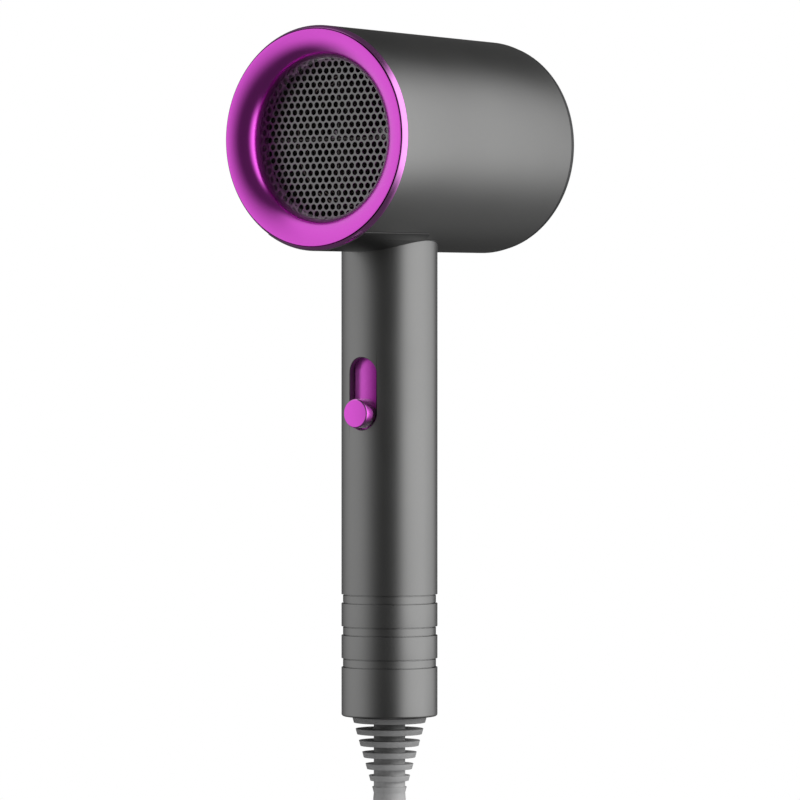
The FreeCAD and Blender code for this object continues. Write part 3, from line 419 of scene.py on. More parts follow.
# painted shade: the saddle is darker than the shell, for the shade under the barrel beside the handle
saddleShadePaint = metallicPaint("saddlePaintedShadeGrey", finishes["saddleShadeGrey"], 0.4)
grillePaint = metallicPaint("grilleGreyPaint", (0.27, 0.27, 0.27), 0.42)
coverPlastic = mouldedPlastic("darkCoverPlastic", (0.02, 0.02, 0.021), 0.5)
filterMesh = brushedMetal("filterWire", (0.11, 0.11, 0.115), 0.4)
reliefRubber = mouldedPlastic("lightGreyRubber", finishes["rubberEnd"], 0.5, 3000, 0.03)
# painted shade on the relief: darker towards its top under the handle, lighter towards its end
paintedLightAlong(reliefRubber, "Z", footZ - 2 * mm, reliefLow.z, finishes["rubberPaintedShadeTop"], finishes["rubberEnd"])
cordRubber = mouldedPlastic("cordRubber", (0.36, 0.36, 0.36), 0.52, 3000, 0.03)
tieFabric = mouldedPlastic("tieBlack", (0.02, 0.02, 0.021), 0.62, 1800, 0.08)
pinMetal = brushedMetal("pinNickel", (0.72, 0.69, 0.64), 0.22)
screwMetal = brushedMetal("screwSteel", (0.5, 0.5, 0.51), 0.32)
carrierPlastic = mouldedPlastic("carrierBlack", (0.03, 0.03, 0.031), 0.46)
impellerPlastic = mouldedPlastic("impellerBlack", (0.045, 0.046, 0.05), 0.4)
micaSheet = flakyMica("micaSheet", (0.15, 0.14, 0.13))
heatWire = wireMaterial("resistanceWire", (0.5, 0.44, 0.4), 0.35)
guardMetal = brushedMetal("guardMetal", (0.6, 0.6, 0.6), 0.3)
motorSteel = brushedMetal("motorSteel", (0.48, 0.48, 0.49), 0.34, (1, 30, 1))
copperWire = wireMaterial("copperWire", (0.72, 0.32, 0.16), 0.3)
bushBronze = brushedMetal("bushBronze", (0.6, 0.4, 0.2), 0.35)
magnetFerrite = mouldedPlastic("magnetFerrite", (0.06, 0.06, 0.062), 0.55)
boardGreen = mouldedPlastic("boardGreen", (0.03, 0.17, 0.06), 0.35, 900, 0.03)
capacitorYellow = mouldedPlastic("capacitorYellow", (0.7, 0.5, 0.06), 0.35)
wireRed = mouldedPlastic("wireRed", (0.45, 0.03, 0.02), 0.42)

slotFinish = {
    "shell_grey": shellPaint,
    "ring_magenta": magentaPaint,
    "grille_grey": grillePaint,
    "cover_dark": coverPlastic,
    "filter_mesh": filterMesh,
    "relief_grey": reliefRubber,
    "cord_grey": cordRubber,
    "tie_black": tieFabric,
    "pin_nickel": pinMetal,
    "screw_steel": screwMetal,
    "carrier_black": carrierPlastic,
    "impeller_black": impellerPlastic,
    "mica": micaSheet,
    "resistance_wire": heatWire,
    "guard_metal": guardMetal,
    "motor_steel": motorSteel,
    "copper_wire": copperWire,
    "bush_bronze": bushBronze,
    "magnet": magnetFerrite,
    "board_green": boardGreen,
    "capacitor_yellow": capacitorYellow,
    "wire_red": wireRed,
}

for part in frame["record"]["subparts"]:
    mesh = nodes[part["node"]].data
    mesh.materials.clear()
    mesh.materials.append(slotFinish[part["material_slot"]])
print("materials are on the packed nodes")


# Barrel

barrel = {
    "bore": 38.9 * mm,
    "rearRadius": 40.55 * mm,
    "rearTrim": 0.3 * mm,
    "edge": 0.3 * mm,
    "neckWay": 9.3 * mm,         # the opening above the handle
    "neckWayDepth": 20 * mm,
    "neckZone": 14 * mm,         # rings of corners on both sides of the opening
    "skinReach": 20 * mm,        # how far a skin runs past the barrel's front
    "sides": 256,
}


def makeBarrelShell():
    front, rear = barrelLow.y, barrelHigh.y - barrel["rearTrim"]
    taper = (barrelRadius - barrel["rearRadius"]) / (rear - front)
    zone = barrel["neckZone"]
    outer = [(barrelRadius - taper * (place - front), place) for place in (front, -zone, zone, rear)]
    outline = [(barrel["bore"], front), *outer, (barrel["bore"], rear), (barrel["bore"], front)]
    piece = layOnBarrel(turnedPiece("barrelShell", outline, barrel["sides"]))
    bevelEdges(piece, barrel["edge"], 3, 60)
    bpy.ops.mesh.primitive_cylinder_add(vertices=64, radius=barrel["neckWay"], depth=barrel["neckWayDepth"],
                                        location=(0, 0, barrelLow.z))
    cutAway(piece, settle(bpy.context.object))
    return dress(piece, "dryer", shellPaint, ["barrel_shell"])


makeBarrelShell()


saddle = {
    "thickness": 0.4 * mm,
    "lift": 0.02 * mm,           # its inner face stands this much clear of the barrel
    "startDrop": 4 * mm,         # the flat outline starts this much below the barrel
    "edge": 0.16 * mm,
    "strips": 44,
    "sideEnd": -3.5 * mm,
    "corner": 2.5 * mm,
    "backMargin": 0.2 * mm,
}


def makeSkin(name, extra):
    # the barrel's outer form, grown by extra, to lay or trim other pieces on
    front = barrelLow.y - barrel["skinReach"]
    outline = [(barrelRadius + extra, front), (barrel["rearRadius"] + extra, barrelHigh.y)]
    return layOnBarrel(turnedPiece(name, outline, 2 * barrel["sides"]))


def makeSaddle():
    # a flat pad outline, wide in front of the handle and close behind it, laid up onto the barrel
    low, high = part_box("neck_saddle")
    halfWidth = high.x
    around = handleRadius + saddle["backMargin"]
    corner = saddle["corner"]
    side = [(halfWidth, low.y)]
    side += arc((halfWidth - corner, saddle["sideEnd"] - corner), (corner, corner), 0, 90, 6)
    meet = math.degrees(math.asin(saddle["sideEnd"] / around))
    back = arc((0, 0), (around, around), meet, 180 - meet, 60)
    outline = side + back + [(-x, y) for x, y in reversed(side)]
    height = axisZ - barrelRadius - saddle["startDrop"]
    piece = tracedLine("neckSaddle", [(x, y, height) for x, y in outline])
    bpy.ops.mesh.edge_face_add()
    for index in range(1, saddle["strips"]):
        bpy.ops.mesh.select_all(action="SELECT")
        x = halfWidth * (2 * index / saddle["strips"] - 1)
        bpy.ops.mesh.bisect(plane_co=(x, 0, 0), plane_no=(1, 0, 0))
    closeMesh()
    skin = makeSkin("skin", saddle["lift"])
    modify(piece, "SHRINKWRAP", target=skin, wrap_method="PROJECT", use_project_z=True,
           use_negative_direction=False, use_positive_direction=True)
    bpy.data.objects.remove(skin)
    openMesh(piece)
    bpy.ops.mesh.select_all(action="SELECT")
    bpy.ops.mesh.normals_make_consistent(inside=False)
    bpy.ops.mesh.select_all(action="DESELECT")
    shape = bmesh.from_edit_mesh(piece.data)
    shape.faces.ensure_lookup_table()
    if shape.faces[0].normal.z > 0:
        bpy.ops.mesh.select_all(action="SELECT")
        bpy.ops.mesh.flip_normals()
    closeMesh()
    modify(piece, "SOLIDIFY", thickness=saddle["thickness"] - saddle["lift"], offset=1)
    bevelEdges(piece, saddle["edge"], 3, 50)
    # the saddle gets the darker grey, a painted shade
    return dress(piece, "dryer", saddleShadePaint, ["neck_saddle"])


makeSaddle()
print("barrel made")


# Front ring and grille

ring = {
    "lipRadius": 39.86 * mm,
    "grooveDepth": 1.2 * mm,
    "bandStart": (40.2 * mm, 0.3 * mm),
    "bandCrown": 0.12 * mm,
    "bandSteps": 8,
    "bellSteps": 24,
    "bellWidth": 10.3 * mm,
    "bellLength": 7.9 * mm,
    "spigotRadius": 38.8 * mm,
    "spigotWall": 1.6 * mm,
    "webThickness": 1.8 * mm,
    "throatWall": 2.0 * mm,
    "edge": 0.05 * mm,
    "sides": 256,
}


def fromAxis(place):
    return Vector((place.x, place.z - axisZ)).length


def makeFrontRing():
    front, rear = ringLow.y, ringHigh.y
    seat = barrelLow.y
    grilleFace = grilleLow.y
    throat = ring["lipRadius"] - ring["bellWidth"]
    bellCentre = (ring["lipRadius"], front + ring["bellLength"])
    bell = arc(bellCentre, (ring["bellWidth"], ring["bellLength"]), 180, 270, ring["bellSteps"])
    # a fine groove, and then a crowned slope that runs back to the barrel
    bandStart = Vector((ring["bandStart"][0], front + ring["bandStart"][1]))
    grooveEnd = front + ring["grooveDepth"]
    rise = Vector((barrelRadius, seat)) - bandStart
    proud = Vector((rise.y, -rise.x)).normalized() * ring["bandCrown"]
    band = []
    for index in range(ring["bandSteps"] + 1):
        share = index / ring["bandSteps"]
        place = bandStart + rise * share + proud * (4 * share * (1 - share))
        band.append((min(place.x, barrelRadius), place.y))
    spigotInner = ring["spigotRadius"] - ring["spigotWall"]
    web = seat + ring["webThickness"]
    outline = [(throat, grilleFace), *bell, (ring["lipRadius"], grooveEnd), (bandStart.x, grooveEnd), *band]
    outline += [(ring["spigotRadius"], seat), (ring["spigotRadius"], rear)]
    outline += [(spigotInner, rear), (spigotInner, web), (throat + ring["throatWall"], web)]
    outline += [(throat + ring["throatWall"], grilleFace), (throat, grilleFace)]
    piece = layOnBarrel(turnedPiece("frontRing", outline, ring["sides"]))
    bevelEdges(piece, ring["edge"], 3, 40)
    dress(piece, "dryer", magentaPaint, ["front_ring"])
    # painted highlight: the band is painted a paler magenta for its bright highlight; the picks stop short of the
    # rounded edges on both sides
    onBand = bandStart.x - 0.05 * mm
    pick(piece, "FACE", lambda place: fromAxis(place) > onBand and front + 0.3 * mm < place.y < seat - 0.1 * mm)
    paintPicked(piece, highlightPaint)
    # painted shadow: the groove's faces are painted dark magenta where shade falls in the gap
    inGroove = (ring["lipRadius"] - 0.02 * mm, bandStart.x + 0.02 * mm)
    pick(piece, "FACE", lambda place: inGroove[0] < fromAxis(place) < inGroove[1]
         and front + 0.25 * mm < place.y < grooveEnd + 0.1 * mm)
    paintPicked(piece, grooveShadowPaint)
    return piece


makeFrontRing()


grille = {
    "pitch": 2.9 * mm,
    "holeRadius": 1.05 * mm,
    "rimRound": 0.1 * mm,
    "fieldRadius": 31.2 * mm,
    "rimOverlap": 0.1 * mm,
    "cellInset": 0.3 * mm,
    "trimDepth": 10 * mm,
    "sides": 192,
}


def makeGrilleCell():
    # one hexagon of plate with a round hole in its middle
    outer = grille["pitch"] / math.sqrt(3)
    deselectAll()
    bpy.ops.mesh.primitive_circle_add(vertices=6, radius=outer, fill_type="NGON")
    piece = settle(bpy.context.object)
    openMesh(piece, "EDGE")
    bpy.ops.mesh.select_all(action="SELECT")
    bpy.ops.mesh.subdivide(number_cuts=2, ngon=True)
    bpy.ops.mesh.select_mode(type="FACE")
    bpy.ops.mesh.select_all(action="SELECT")
    bpy.ops.mesh.inset(thickness=grille["cellInset"])
    bpy.ops.transform.tosphere(value=1, center_override=(0, 0, 0))
    shape = bmesh.from_edit_mesh(piece.data)
    reach = max(corner.co.length for corner in shape.verts if corner.select)
    share = grille["holeRadius"] / reach
    bpy.ops.transform.resize(value=(share, share, 1), center_override=(0, 0, 0))
    bpy.ops.mesh.delete(type="ONLY_FACE")
    closeMesh()
    return piece


def makeGrille():
    front, back = grilleLow.y, grilleHigh.y
    rim = grilleHigh.x
    pitch = grille["pitch"]
    rowStep = pitch * math.sqrt(3) / 2
    cell = makeGrilleCell()
    twin = copyOf(cell, "cellTwin")
    twin.location = (pitch / 2, rowStep, 0)
    settle(twin)
    sheet = joinPieces(cell, twin)
    columns = 2 * math.ceil((grille["fieldRadius"] + pitch) / pitch) + 1
    pairs = 2 * math.ceil((grille["fieldRadius"] + pitch) / (2 * rowStep)) + 1
    for count, offset in ((columns, (pitch, 0, 0)), (pairs, (0, 2 * rowStep, 0))):
        modify(sheet, "ARRAY", count=count, use_relative_offset=False, use_constant_offset=True,
               constant_offset_displace=offset, use_merge_vertices=True, merge_threshold=mm / 100)
    sheet.location = (-pitch * (columns // 2), -2 * rowStep * (pairs // 2), 0)
    settle(sheet)
    reach = grille["fieldRadius"] + 1.6 * pitch
    pick(sheet, "FACE", lambda place: place.length > reach)
    bpy.ops.mesh.delete(type="FACE")
    closeTidied(mm / 100)
    modify(sheet, "SOLIDIFY", thickness=back - front, offset=0)
    bevelEdges(sheet, grille["rimRound"], 1, 60)
    deselectAll()
    bpy.ops.mesh.primitive_cylinder_add(vertices=grille["sides"], radius=grille["fieldRadius"],
                                        depth=grille["trimDepth"])
    cutAway(sheet, settle(bpy.context.object), "INTERSECT")
    inner = grille["fieldRadius"] - grille["rimOverlap"]
    half = (back - front) / 2
    edge = turnedPiece("grilleEdge", [(inner, -half), (rim, -half), (rim, half), (inner, half), (inner, -half)])
    joinPieces(sheet, edge)
    sheet.name = "frontGrille"
    layOnBarrel(sheet, (front + back) / 2)
    return dress(sheet, "dryer", grillePaint, ["front_grille"], 25)


makeGrille()
print("front ring and grille made")


# Handle

handle = {
    "bore": 15.4 * mm,
    "footRound": 0.9 * mm,
    "grooves": (18.43 * mm, 30.40 * mm, 42.37 * mm),
    "grooveWidth": 3.34 * mm,
    "grooveDepth": 0.56 * mm,
    "grooveEdge": 0.14 * mm,
    "notchDepth": 0.5 * mm,
    "notchWidth": 0.42 * mm,
    "slotWidth": 12.3 * mm,
    "slotLow": 107.4 * mm,
    "slotHigh": 134.4 * mm,
    "slotEdge": 0.22 * mm,
    "cope": 0.08 * mm,
    "slotMargin": 4 * mm,        # rings of corners above and below the slot
    "topStart": 2 * mm,          # the tube is turned to this much below the barrel, then carried up
    "topRound": 0.2 * mm,
    "sides": 160,
}


def makeHandleTube():
    outer = handleRadius
    foot = handle["footRound"]
    outline = [(handle["bore"], footZ)]
    outline += arc((outer - foot, footZ + foot), (foot, foot), 270, 360, 5)
    for start in handle["grooves"]:
        low = footZ + start
        high = low + handle["grooveWidth"]
        bottom = outer - handle["grooveDepth"]
        soft = handle["grooveEdge"]
        outline += arc((outer - soft, low - soft), (soft, soft), 0, 90, 4)
        notch = bottom - handle["notchDepth"]
        outline += [(notch, low), (notch, low + handle["notchWidth"]), (bottom, low + handle["notchWidth"])]
        outline += [(bottom, high - handle["notchWidth"]), (notch, high - handle["notchWidth"]), (notch, high)]
        outline += arc((outer - soft, high + soft), (soft, soft), 270, 360, 4)
    top = axisZ - barrelRadius - handle["topStart"]
    margin = handle["slotMargin"]
    for height in (footZ + handle["slotLow"] - margin, footZ + handle["slotHigh"] + margin, top):
        outline.append((outer, height))
    outline += [(handle["bore"], top), (handle["bore"], footZ)]
    piece = turnedPiece("handleTube", outline, handle["sides"])
    # the top ring is carried up through the saddle to the barrel, and its outer edge is rounded
    topGroup = piece.vertex_groups.new(name="top")
    topGroup.add([corner.index for corner in piece.data.vertices if corner.co.z > top - mm], 1, "ADD")
    skin = makeSkin("skin", handle["cope"])
    modify(piece, "SHRINKWRAP", target=skin, wrap_method="PROJECT", use_project_z=True,
           use_negative_direction=False, use_positive_direction=True, vertex_group="top")
    bpy.data.objects.remove(skin)
    pick(piece, "EDGE", lambda place: place.z > top + mm and place.xy.length > outer - 0.1 * mm)
    bpy.ops.mesh.bevel(offset=handle["topRound"], segments=5, affect="EDGES")
    closeMesh()
    cutSlot(piece)
    return dress(piece, "dryer", shellPaint, ["handle_tube"], 28)


def cutSlot(piece):
    half = handle["slotWidth"] / 2
    low = footZ + handle["slotLow"] + half
    high = footZ + handle["slotHigh"] - half
    deselectAll()
    bpy.ops.mesh.primitive_circle_add(vertices=64, radius=half, fill_type="NGON", rotation=(math.pi / 2, 0, 0),
                                      location=(0, -handleRadius - handle["slotMargin"], low))
    tool = settle(bpy.context.object)
    pick(tool, "VERT", lambda place: place.z > low + 0.01 * mm)
    bpy.ops.transform.translate(value=(0, 0, high - low))
    closeMesh()
    openMesh(tool, "FACE")
    bpy.ops.mesh.select_all(action="SELECT")
    bpy.ops.mesh.extrude_region_move(TRANSFORM_OT_translate={"value": (0, handleRadius, 0)})
    closeTidied()
    cutAway(piece, tool)
    # the slot's outer edge is softened
    openMesh(piece, "EDGE")
    bpy.ops.mesh.select_all(action="DESELECT")
    shape = bmesh.from_edit_mesh(piece.data)
    for edge in shape.edges:
        middle = (edge.verts[0].co + edge.verts[1].co) / 2
        onRim = middle.y < 0 and abs(middle.x) < half + 0.1 * mm and middle.xy.length > handleRadius - 0.1 * mm
        edge.select_set(onRim and len(edge.link_faces) == 2 and edge.calc_face_angle() > math.radians(40)
                        and low - half - mm < middle.z < high + half + mm)
    bmesh.update_edit_mesh(piece.data)
    bpy.ops.mesh.bevel(offset=handle["slotEdge"], segments=1, affect="EDGES")
    closeMesh()


makeHandleTube()


slide = {"thickness": 1.6 * mm, "edge": 0.2 * mm, "steps": 40}


def makeSlidePlate():
    outer = -slideLow.y
    inner = outer - slide["thickness"]
    halfAngle = math.asin(slideHigh.x / outer)
    deselectAll()
    bpy.ops.mesh.primitive_plane_add(size=1)
    piece = bpy.context.object
    piece.name = "slidePlate"
    piece.rotation_euler = (0, math.pi / 2, 0)
    piece.scale = (slideHigh.z - slideLow.z, slide["thickness"], 1)
    piece.location = (0, -(outer + inner) / 2, (slideLow.z + slideHigh.z) / 2)
    settle(piece)
    piece.rotation_euler = (0, 0, -halfAngle)
    settle(piece)
    openMesh(piece)
    bpy.ops.mesh.select_all(action="SELECT")
    bpy.ops.mesh.spin(steps=slide["steps"], angle=-2 * halfAngle, center=(0, 0, 0), axis=(0, 0, 1))
    closeMesh()
    # spin may have swept away from the slot's middle, and is then turned back over it
    if max(corner.co.x for corner in piece.data.vertices) < slideHigh.x / 2:
        piece.rotation_euler = (0, 0, 2 * halfAngle)
        settle(piece)
    openMesh(piece)
    closeTidied(mm / 200)
    bevelEdges(piece, slide["edge"], 2, 50)
    return dress(piece, "switch_slider", slidePaintedLight, ["slide_plate"])


makeSlidePlate()


knob = {"chamfer": 0.45 * mm, "edge": 0.12 * mm, "sink": 0.4 * mm, "sides": 96}


def makeKnob():
    radius = knobHigh.x
    face = -knobLow.y
    seat = -slideLow.y - knob["sink"]
    chamfer = knob["chamfer"]
    outline = [(0, seat), (radius, seat), (radius, face - chamfer), (radius - chamfer, face), (0, face)]
    piece = turnedPiece("switchKnob", outline, knob["sides"])
    piece.rotation_euler = (math.pi / 2, 0, 0)
    piece.location = (0, 0, knobZ)
    settle(piece)
    bevelEdges(piece, knob["edge"], 3, 20)
    dress(piece, "switch_slider", magentaPaint, ["switch_knob"])
    # painted highlight: the knob's chamfer gets the paler magenta
    pick(piece, "FACE", lambda place: -face + 0.03 * mm < place.y < -face + chamfer)
    paintPicked(piece, highlightPaint)
    return piece


makeKnob()
print("handle and switch made")


# Strain relief

relief = {
    "ringCount": 7,
    "plugRadius": 8.7 * mm,      # the part that sits inside the handle's foot
    "plugHeight": 2.5 * mm,
    "firstDrop": 0.4 * mm,
    "pitch": 4.36 * mm,
    "thickness": 2.05 * mm,
    "slope": 0.55 * mm,
    "firstRadius": 13.95 * mm,
    "lastRadius": 6.5 * mm,
    "coreRadius": 5.9 * mm,
    "sleeveRadius": 6.1 * mm,
    "neckRadius": 6.8 * mm,
    "bore": 3.55 * mm,
    "endRound": 0.8 * mm,
    "edge": 0.3 * mm,
    "sides": 128,
}


def makeStrainRelief():
    top = reliefHigh.z
    seat = top - relief["plugHeight"]
    inside = relief["plugRadius"]
    outline = [(relief["bore"], top), (inside, top), (inside, seat), (relief["neckRadius"], seat)]
    outline.append((relief["neckRadius"], footZ - relief["firstDrop"]))
    shrink = (relief["firstRadius"] - relief["lastRadius"]) / (relief["ringCount"] - 1)
    for index in range(relief["ringCount"]):
        high = footZ - relief["firstDrop"] - relief["pitch"] * index
        low = high - relief["thickness"]
        outer = relief["firstRadius"] - shrink * index
        if index:
            outline.append((relief["coreRadius"], high))
        outline += [(outer, high), (outer - relief["slope"], low), (relief["coreRadius"], low)]
    start = footZ - relief["firstDrop"] - relief["pitch"] * relief["ringCount"]
    end = reliefLow.z
    soft = relief["endRound"]
    outline += [(relief["sleeveRadius"], start)]
    outline += arc((relief["sleeveRadius"] - soft, end + soft), (soft, soft), 0, -90, 5)
    outline += [(relief["bore"], end), (relief["bore"], top)]
    piece = turnedPiece("strainRelief", outline, relief["sides"])
    bevelEdges(piece, relief["edge"], 3, 40)
    return dress(piece, "dryer", reliefRubber, ["strain_relief"])


strainRelief = makeStrainRelief()
print("strain relief made")


# Cord, hank, tie and plug

cord = {"diameter": 7 * mm, "length": 1.8, "sideSteps": 6, "lengthSteps": 6}
# Points in millimetres from the relief's end, as the cord's solids have them.
leadRoute = [(0, 0, 0), (0, 0, -14), (0, -6, -27.5), (-1, -14, -39), (-3, -18.3, -50), (-6, -17.4, -63),
             (-8.4, -14.6, -80)]
tailRoute = [(-20, 21.5, -70), (-20, 22.5, -92), (-18, 29, -114), (-16, 36, -136), (-16, 38.5, -158)]
hank = {
    "turns": 5,
    "layer": 7.0,
    "endRadius": 21.5,
    "waist": 9.0,
    "circleRise": 50.5,
    "waistHalf": 4,
    "easeLength": 36,
    "leadTop": 20,               # the lead joins the first leg above this height
    "legPlaces": (38, 24, 9, -9, -24, -38),
    "foldAngles": (0, 30, 60, 90, 120, 150, 180),
}


def hankPoints():
    # legs pinched at the waist, and round folds at both ends, one layer behind the other
    halfStep = math.radians(hank["foldAngles"][1] - hank["foldAngles"][0]) / 2
    control = hank["endRadius"] / math.cos(halfStep)
    rise = hank["circleRise"]
    points = []
    for turn in range(hank["turns"]):
        layer = hank["layer"] * (turn - (hank["turns"] - 1) / 2)
        down = [legPoint(-1, height, layer) for height in hank["legPlaces"]]
        if turn == 0:
            down = [point for point in down if point[2] < hank["leadTop"]]
        points += down
        for angle in hank["foldAngles"]:
            turned = math.radians(180 + angle)
            points.append((control * math.cos(turned), layer, -rise + control * math.sin(turned)))
        points += [legPoint(1, height, layer) for height in reversed(hank["legPlaces"])]
        for angle in hank["foldAngles"]:
            turned = math.radians(angle)
            shift = hank["layer"] * (1 - math.cos(turned)) / 2
            points.append((control * math.cos(turned), layer + shift, rise + control * math.sin(turned)))
    return points


def legPoint(side, height, layer):
    part = min(1, max(0, (abs(height) - hank["waistHalf"]) / hank["easeLength"]))
    eased = part * part * (3 - 2 * part)
    return (side * (hank["waist"] + (hank["endRadius"] - hank["waist"]) * eased), layer, height)


def makeCord():
    exitPoint = Vector((0, 0, reliefLow.z))
    middle = Vector((0, 0, (hankLow.z + hankHigh.z) / 2))
    points = [exitPoint + Vector(point) * mm for point in leadRoute]
    points += [middle + Vector(point) * mm for point in hankPoints()]
    points += [exitPoint + Vector(point) * mm for point in tailRoute]
    curve = bpy.data.curves.new("powerCord", "CURVE")
    curve.dimensions = "3D"
    curve.bevel_depth = cord["diameter"] / 2
    curve.bevel_resolution = cord["sideSteps"]
    curve.resolution_u = cord["lengthSteps"]
    curve.use_fill_caps = True
    spline = curve.splines.new("NURBS")
    spline.points.add(len(points) - 1)
    for place, point in zip(spline.points, points):
        place.co = (*point, 1)
    spline.order_u = 3
    spline.use_endpoint_u = True
    piece = bpy.data.objects.new("powerCord", curve)
    bpy.context.scene.collection.objects.link(piece)
    dress(piece, "dryer", cordRubber, ["cord_lead", "cord_hank", "cord_tail"])
    return piece, exitPoint


powerCord, cordExit = makeCord()


tie = {"thickness": 1.2 * mm, "corner": 3.2 * mm, "edge": 0.3 * mm}


def makeTie():
    # a flat strap closed round the hank's waist
    deselectAll()
    bpy.ops.mesh.primitive_cube_add(size=1)
    piece = bpy.context.object
    piece.name = "hankTie"
    piece.scale = (tieHigh.x - tieLow.x, tieHigh.y - tieLow.y, tieHigh.z - tieLow.z)
    piece.location = (tieLow + tieHigh) / 2
    settle(piece)
    pick(piece, "FACE", lambda place: min(tieHigh.z - place.z, place.z - tieLow.z) < 0.01 * mm)
    bpy.ops.mesh.delete(type="ONLY_FACE")
    closeMesh()
    openMesh(piece, "EDGE")
    bpy.ops.mesh.select_all(action="DESELECT")
    shape = bmesh.from_edit_mesh(piece.data)
    for edge in shape.edges:
        run = edge.verts[0].co - edge.verts[1].co
        edge.select_set(abs(run.z) > mm)
    bmesh.update_edit_mesh(piece.data)
    bpy.ops.mesh.bevel(offset=tie["corner"], segments=8, affect="EDGES")
    closeTidied()
    modify(piece, "SOLIDIFY", thickness=tie["thickness"], offset=-1)
    bevelEdges(piece, tie["edge"], 2, 50)
    return dress(piece, "dryer", tieFabric, ["hank_tie"])


hankTie = makeTie()


plug = {
    "neckRadius": 5.6 * mm,
    "neckTip": 4.8 * mm,
    "neckLength": 13 * mm,
    "gripRadius": 10.5 * mm,
    "shoulder": 14 * mm,
    "faceEdge": 1.2 * mm,
    "ribs": 5,
    "ribDepth": 0.7 * mm,
    "ribGrowth": 0.1 * mm,
    "notchWidth": 9 * mm,
    "notchDepth": 3.4 * mm,
    "pinRadius": 2.4 * mm,
    "pinSpacing": 19 * mm,
    "neckDrop": 1.5 * mm,        # how far the neck's foot slopes out to the grip
    "edge": 0.8 * mm,
    "pinTip": 1 * mm,
    "pinEdge": 0.4 * mm,
    "sides": 96,
    "pinSides": 48,
}


def makePlug():
    middle = (plugLow + plugHigh) / 2
    radius = (plugHigh.x - plugLow.x) / 2
    top, face = plugHigh.z, plugLow.z
    neckEnd = top - plug["neckLength"]
    gripEnd = neckEnd - plug["shoulder"]
    outline = [(0, top), (plug["neckTip"], top)]
    step = plug["neckLength"] / (2 * plug["ribs"] + 1)
    for index in range(plug["ribs"]):
        high = top - step * (2 * index + 1)
        deep = plug["neckTip"] - plug["ribDepth"]
        outline += [(plug["neckTip"], high), (deep, high - step * 0.2), (deep, high - step * 0.8),
                    (plug["neckTip"] + plug["ribGrowth"] * index, high - step)]
    outline += [(plug["neckRadius"], neckEnd), (plug["gripRadius"], neckEnd - plug["neckDrop"])]
    outline += [(radius, gripEnd), (radius, face + plug["faceEdge"]), (radius - plug["faceEdge"], face), (0, face)]
    piece = turnedPiece("plugBody", outline, plug["sides"])
    piece.location = (middle.x, middle.y, 0)
    settle(piece)
    bevelEdges(piece, plug["edge"], 3, 25)
    for side in (-1, 1):
        bpy.ops.mesh.primitive_cube_add(size=1)
        tool = bpy.context.object
        tool.scale = (plug["notchWidth"], 2 * plug["notchDepth"], 2 * (gripEnd - face))
        tool.location = (middle.x, middle.y + side * radius, face)
        settle(tool)
        cutAway(piece, tool)
    return dress(piece, "dryer", cordRubber, ["plug_body"])


def makePins():
    middle = (plugLow + plugHigh) / 2
    radius = plug["pinRadius"]
    tip = plug["pinTip"]
    outline = [(0, pinsHigh.z), (radius, pinsHigh.z), (radius, pinsLow.z + tip), (radius - tip, pinsLow.z),
               (0, pinsLow.z)]
    first = turnedPiece("plugPins", outline, plug["pinSides"])
    bevelEdges(first, plug["pinEdge"], 3, 30)
    second = copyOf(first, "secondPin")
    for pin, side in ((first, -1), (second, 1)):
        pin.location = (middle.x + side * plug["pinSpacing"] / 2, middle.y, 0)
        settle(pin)
    return dress(joinPieces(first, second), "dryer", pinMetal, ["plug_pins"])


plugBody = makePlug()
plugPins = makePins()
print("cord and plug made")


# Intake filter

# The trim and the hoop's width count in cells.
intake = {"cell": 1.25 * mm, "wire": 0.3 * mm, "trim": 0.6, "hoopWidth": 1.6}


def makeFilter():
    radius = filterHigh.x
    middle = (filterLow.y + filterHigh.y) / 2
    count = int(2 * radius / intake["cell"])
    deselectAll()
    bpy.ops.mesh.primitive_grid_add(x_subdivisions=count, y_subdivisions=count, size=2 * radius)
    piece = bpy.context.object
    piece.name = "intakeFilter"
    pick(piece, "VERT", lambda place: place.length > radius - intake["trim"] * intake["cell"])
    bpy.ops.mesh.delete(type="VERT")
    closeMesh()
    modify(piece, "WIREFRAME", thickness=intake["wire"], use_replace=True, use_even_offset=False)
    half = (filterHigh.y - filterLow.y) / 2
    inner = radius - intake["hoopWidth"] * intake["cell"]
    hoop = turnedPiece("hoop", [(inner, -half), (radius, -half), (radius, half), (inner, half), (inner, -half)])
    joinPieces(piece, hoop)
    layOnBarrel(piece, middle)
    return dress(piece, "dryer", filterMesh, ["intake_filter"])


makeFilter()
print("intake filter made")


# Studio: white background, pale floor, soft lamps and a light tent that only gloss sees

studio = {
    "floorRadius": 2.6,
    "floorDrop": 2 * mm,
    "floorColour": (0.82, 0.82, 0.83),
    "fillStrength": 0.36,
    "floorFade": (0.35, 0.9),    # shares of the radius between which the floor thins out
    "tentRadius": 6.0,
}


def makeWorld():
    world = bpy.data.worlds.new("studioWorld")
    bpy.context.scene.world = world
    world.use_nodes = True
    world.node_tree.nodes.clear()
    path = addNode(world, "ShaderNodeLightPath")
    seen = combine(world, "MAXIMUM", path.outputs["Is Camera Ray"], path.outputs["Is Glossy Ray"])
    mix = addNode(world, "ShaderNodeMixShader")
    link(world, combine(world, "MAXIMUM", seen, path.outputs["Is Transmission Ray"]), mix.inputs[0])
    for index, strength in enumerate((studio["fillStrength"], 1.0)):
        shade = addNode(world, "ShaderNodeBackground")
        shade.inputs["Color"].default_value = (1, 1, 1, 1)
        shade.inputs["Strength"].default_value = strength
        link(world, shade.outputs[0], mix.inputs[index + 1])
    output = addNode(world, "ShaderNodeOutputWorld")
    link(world, mix.outputs[0], output.inputs["Surface"])


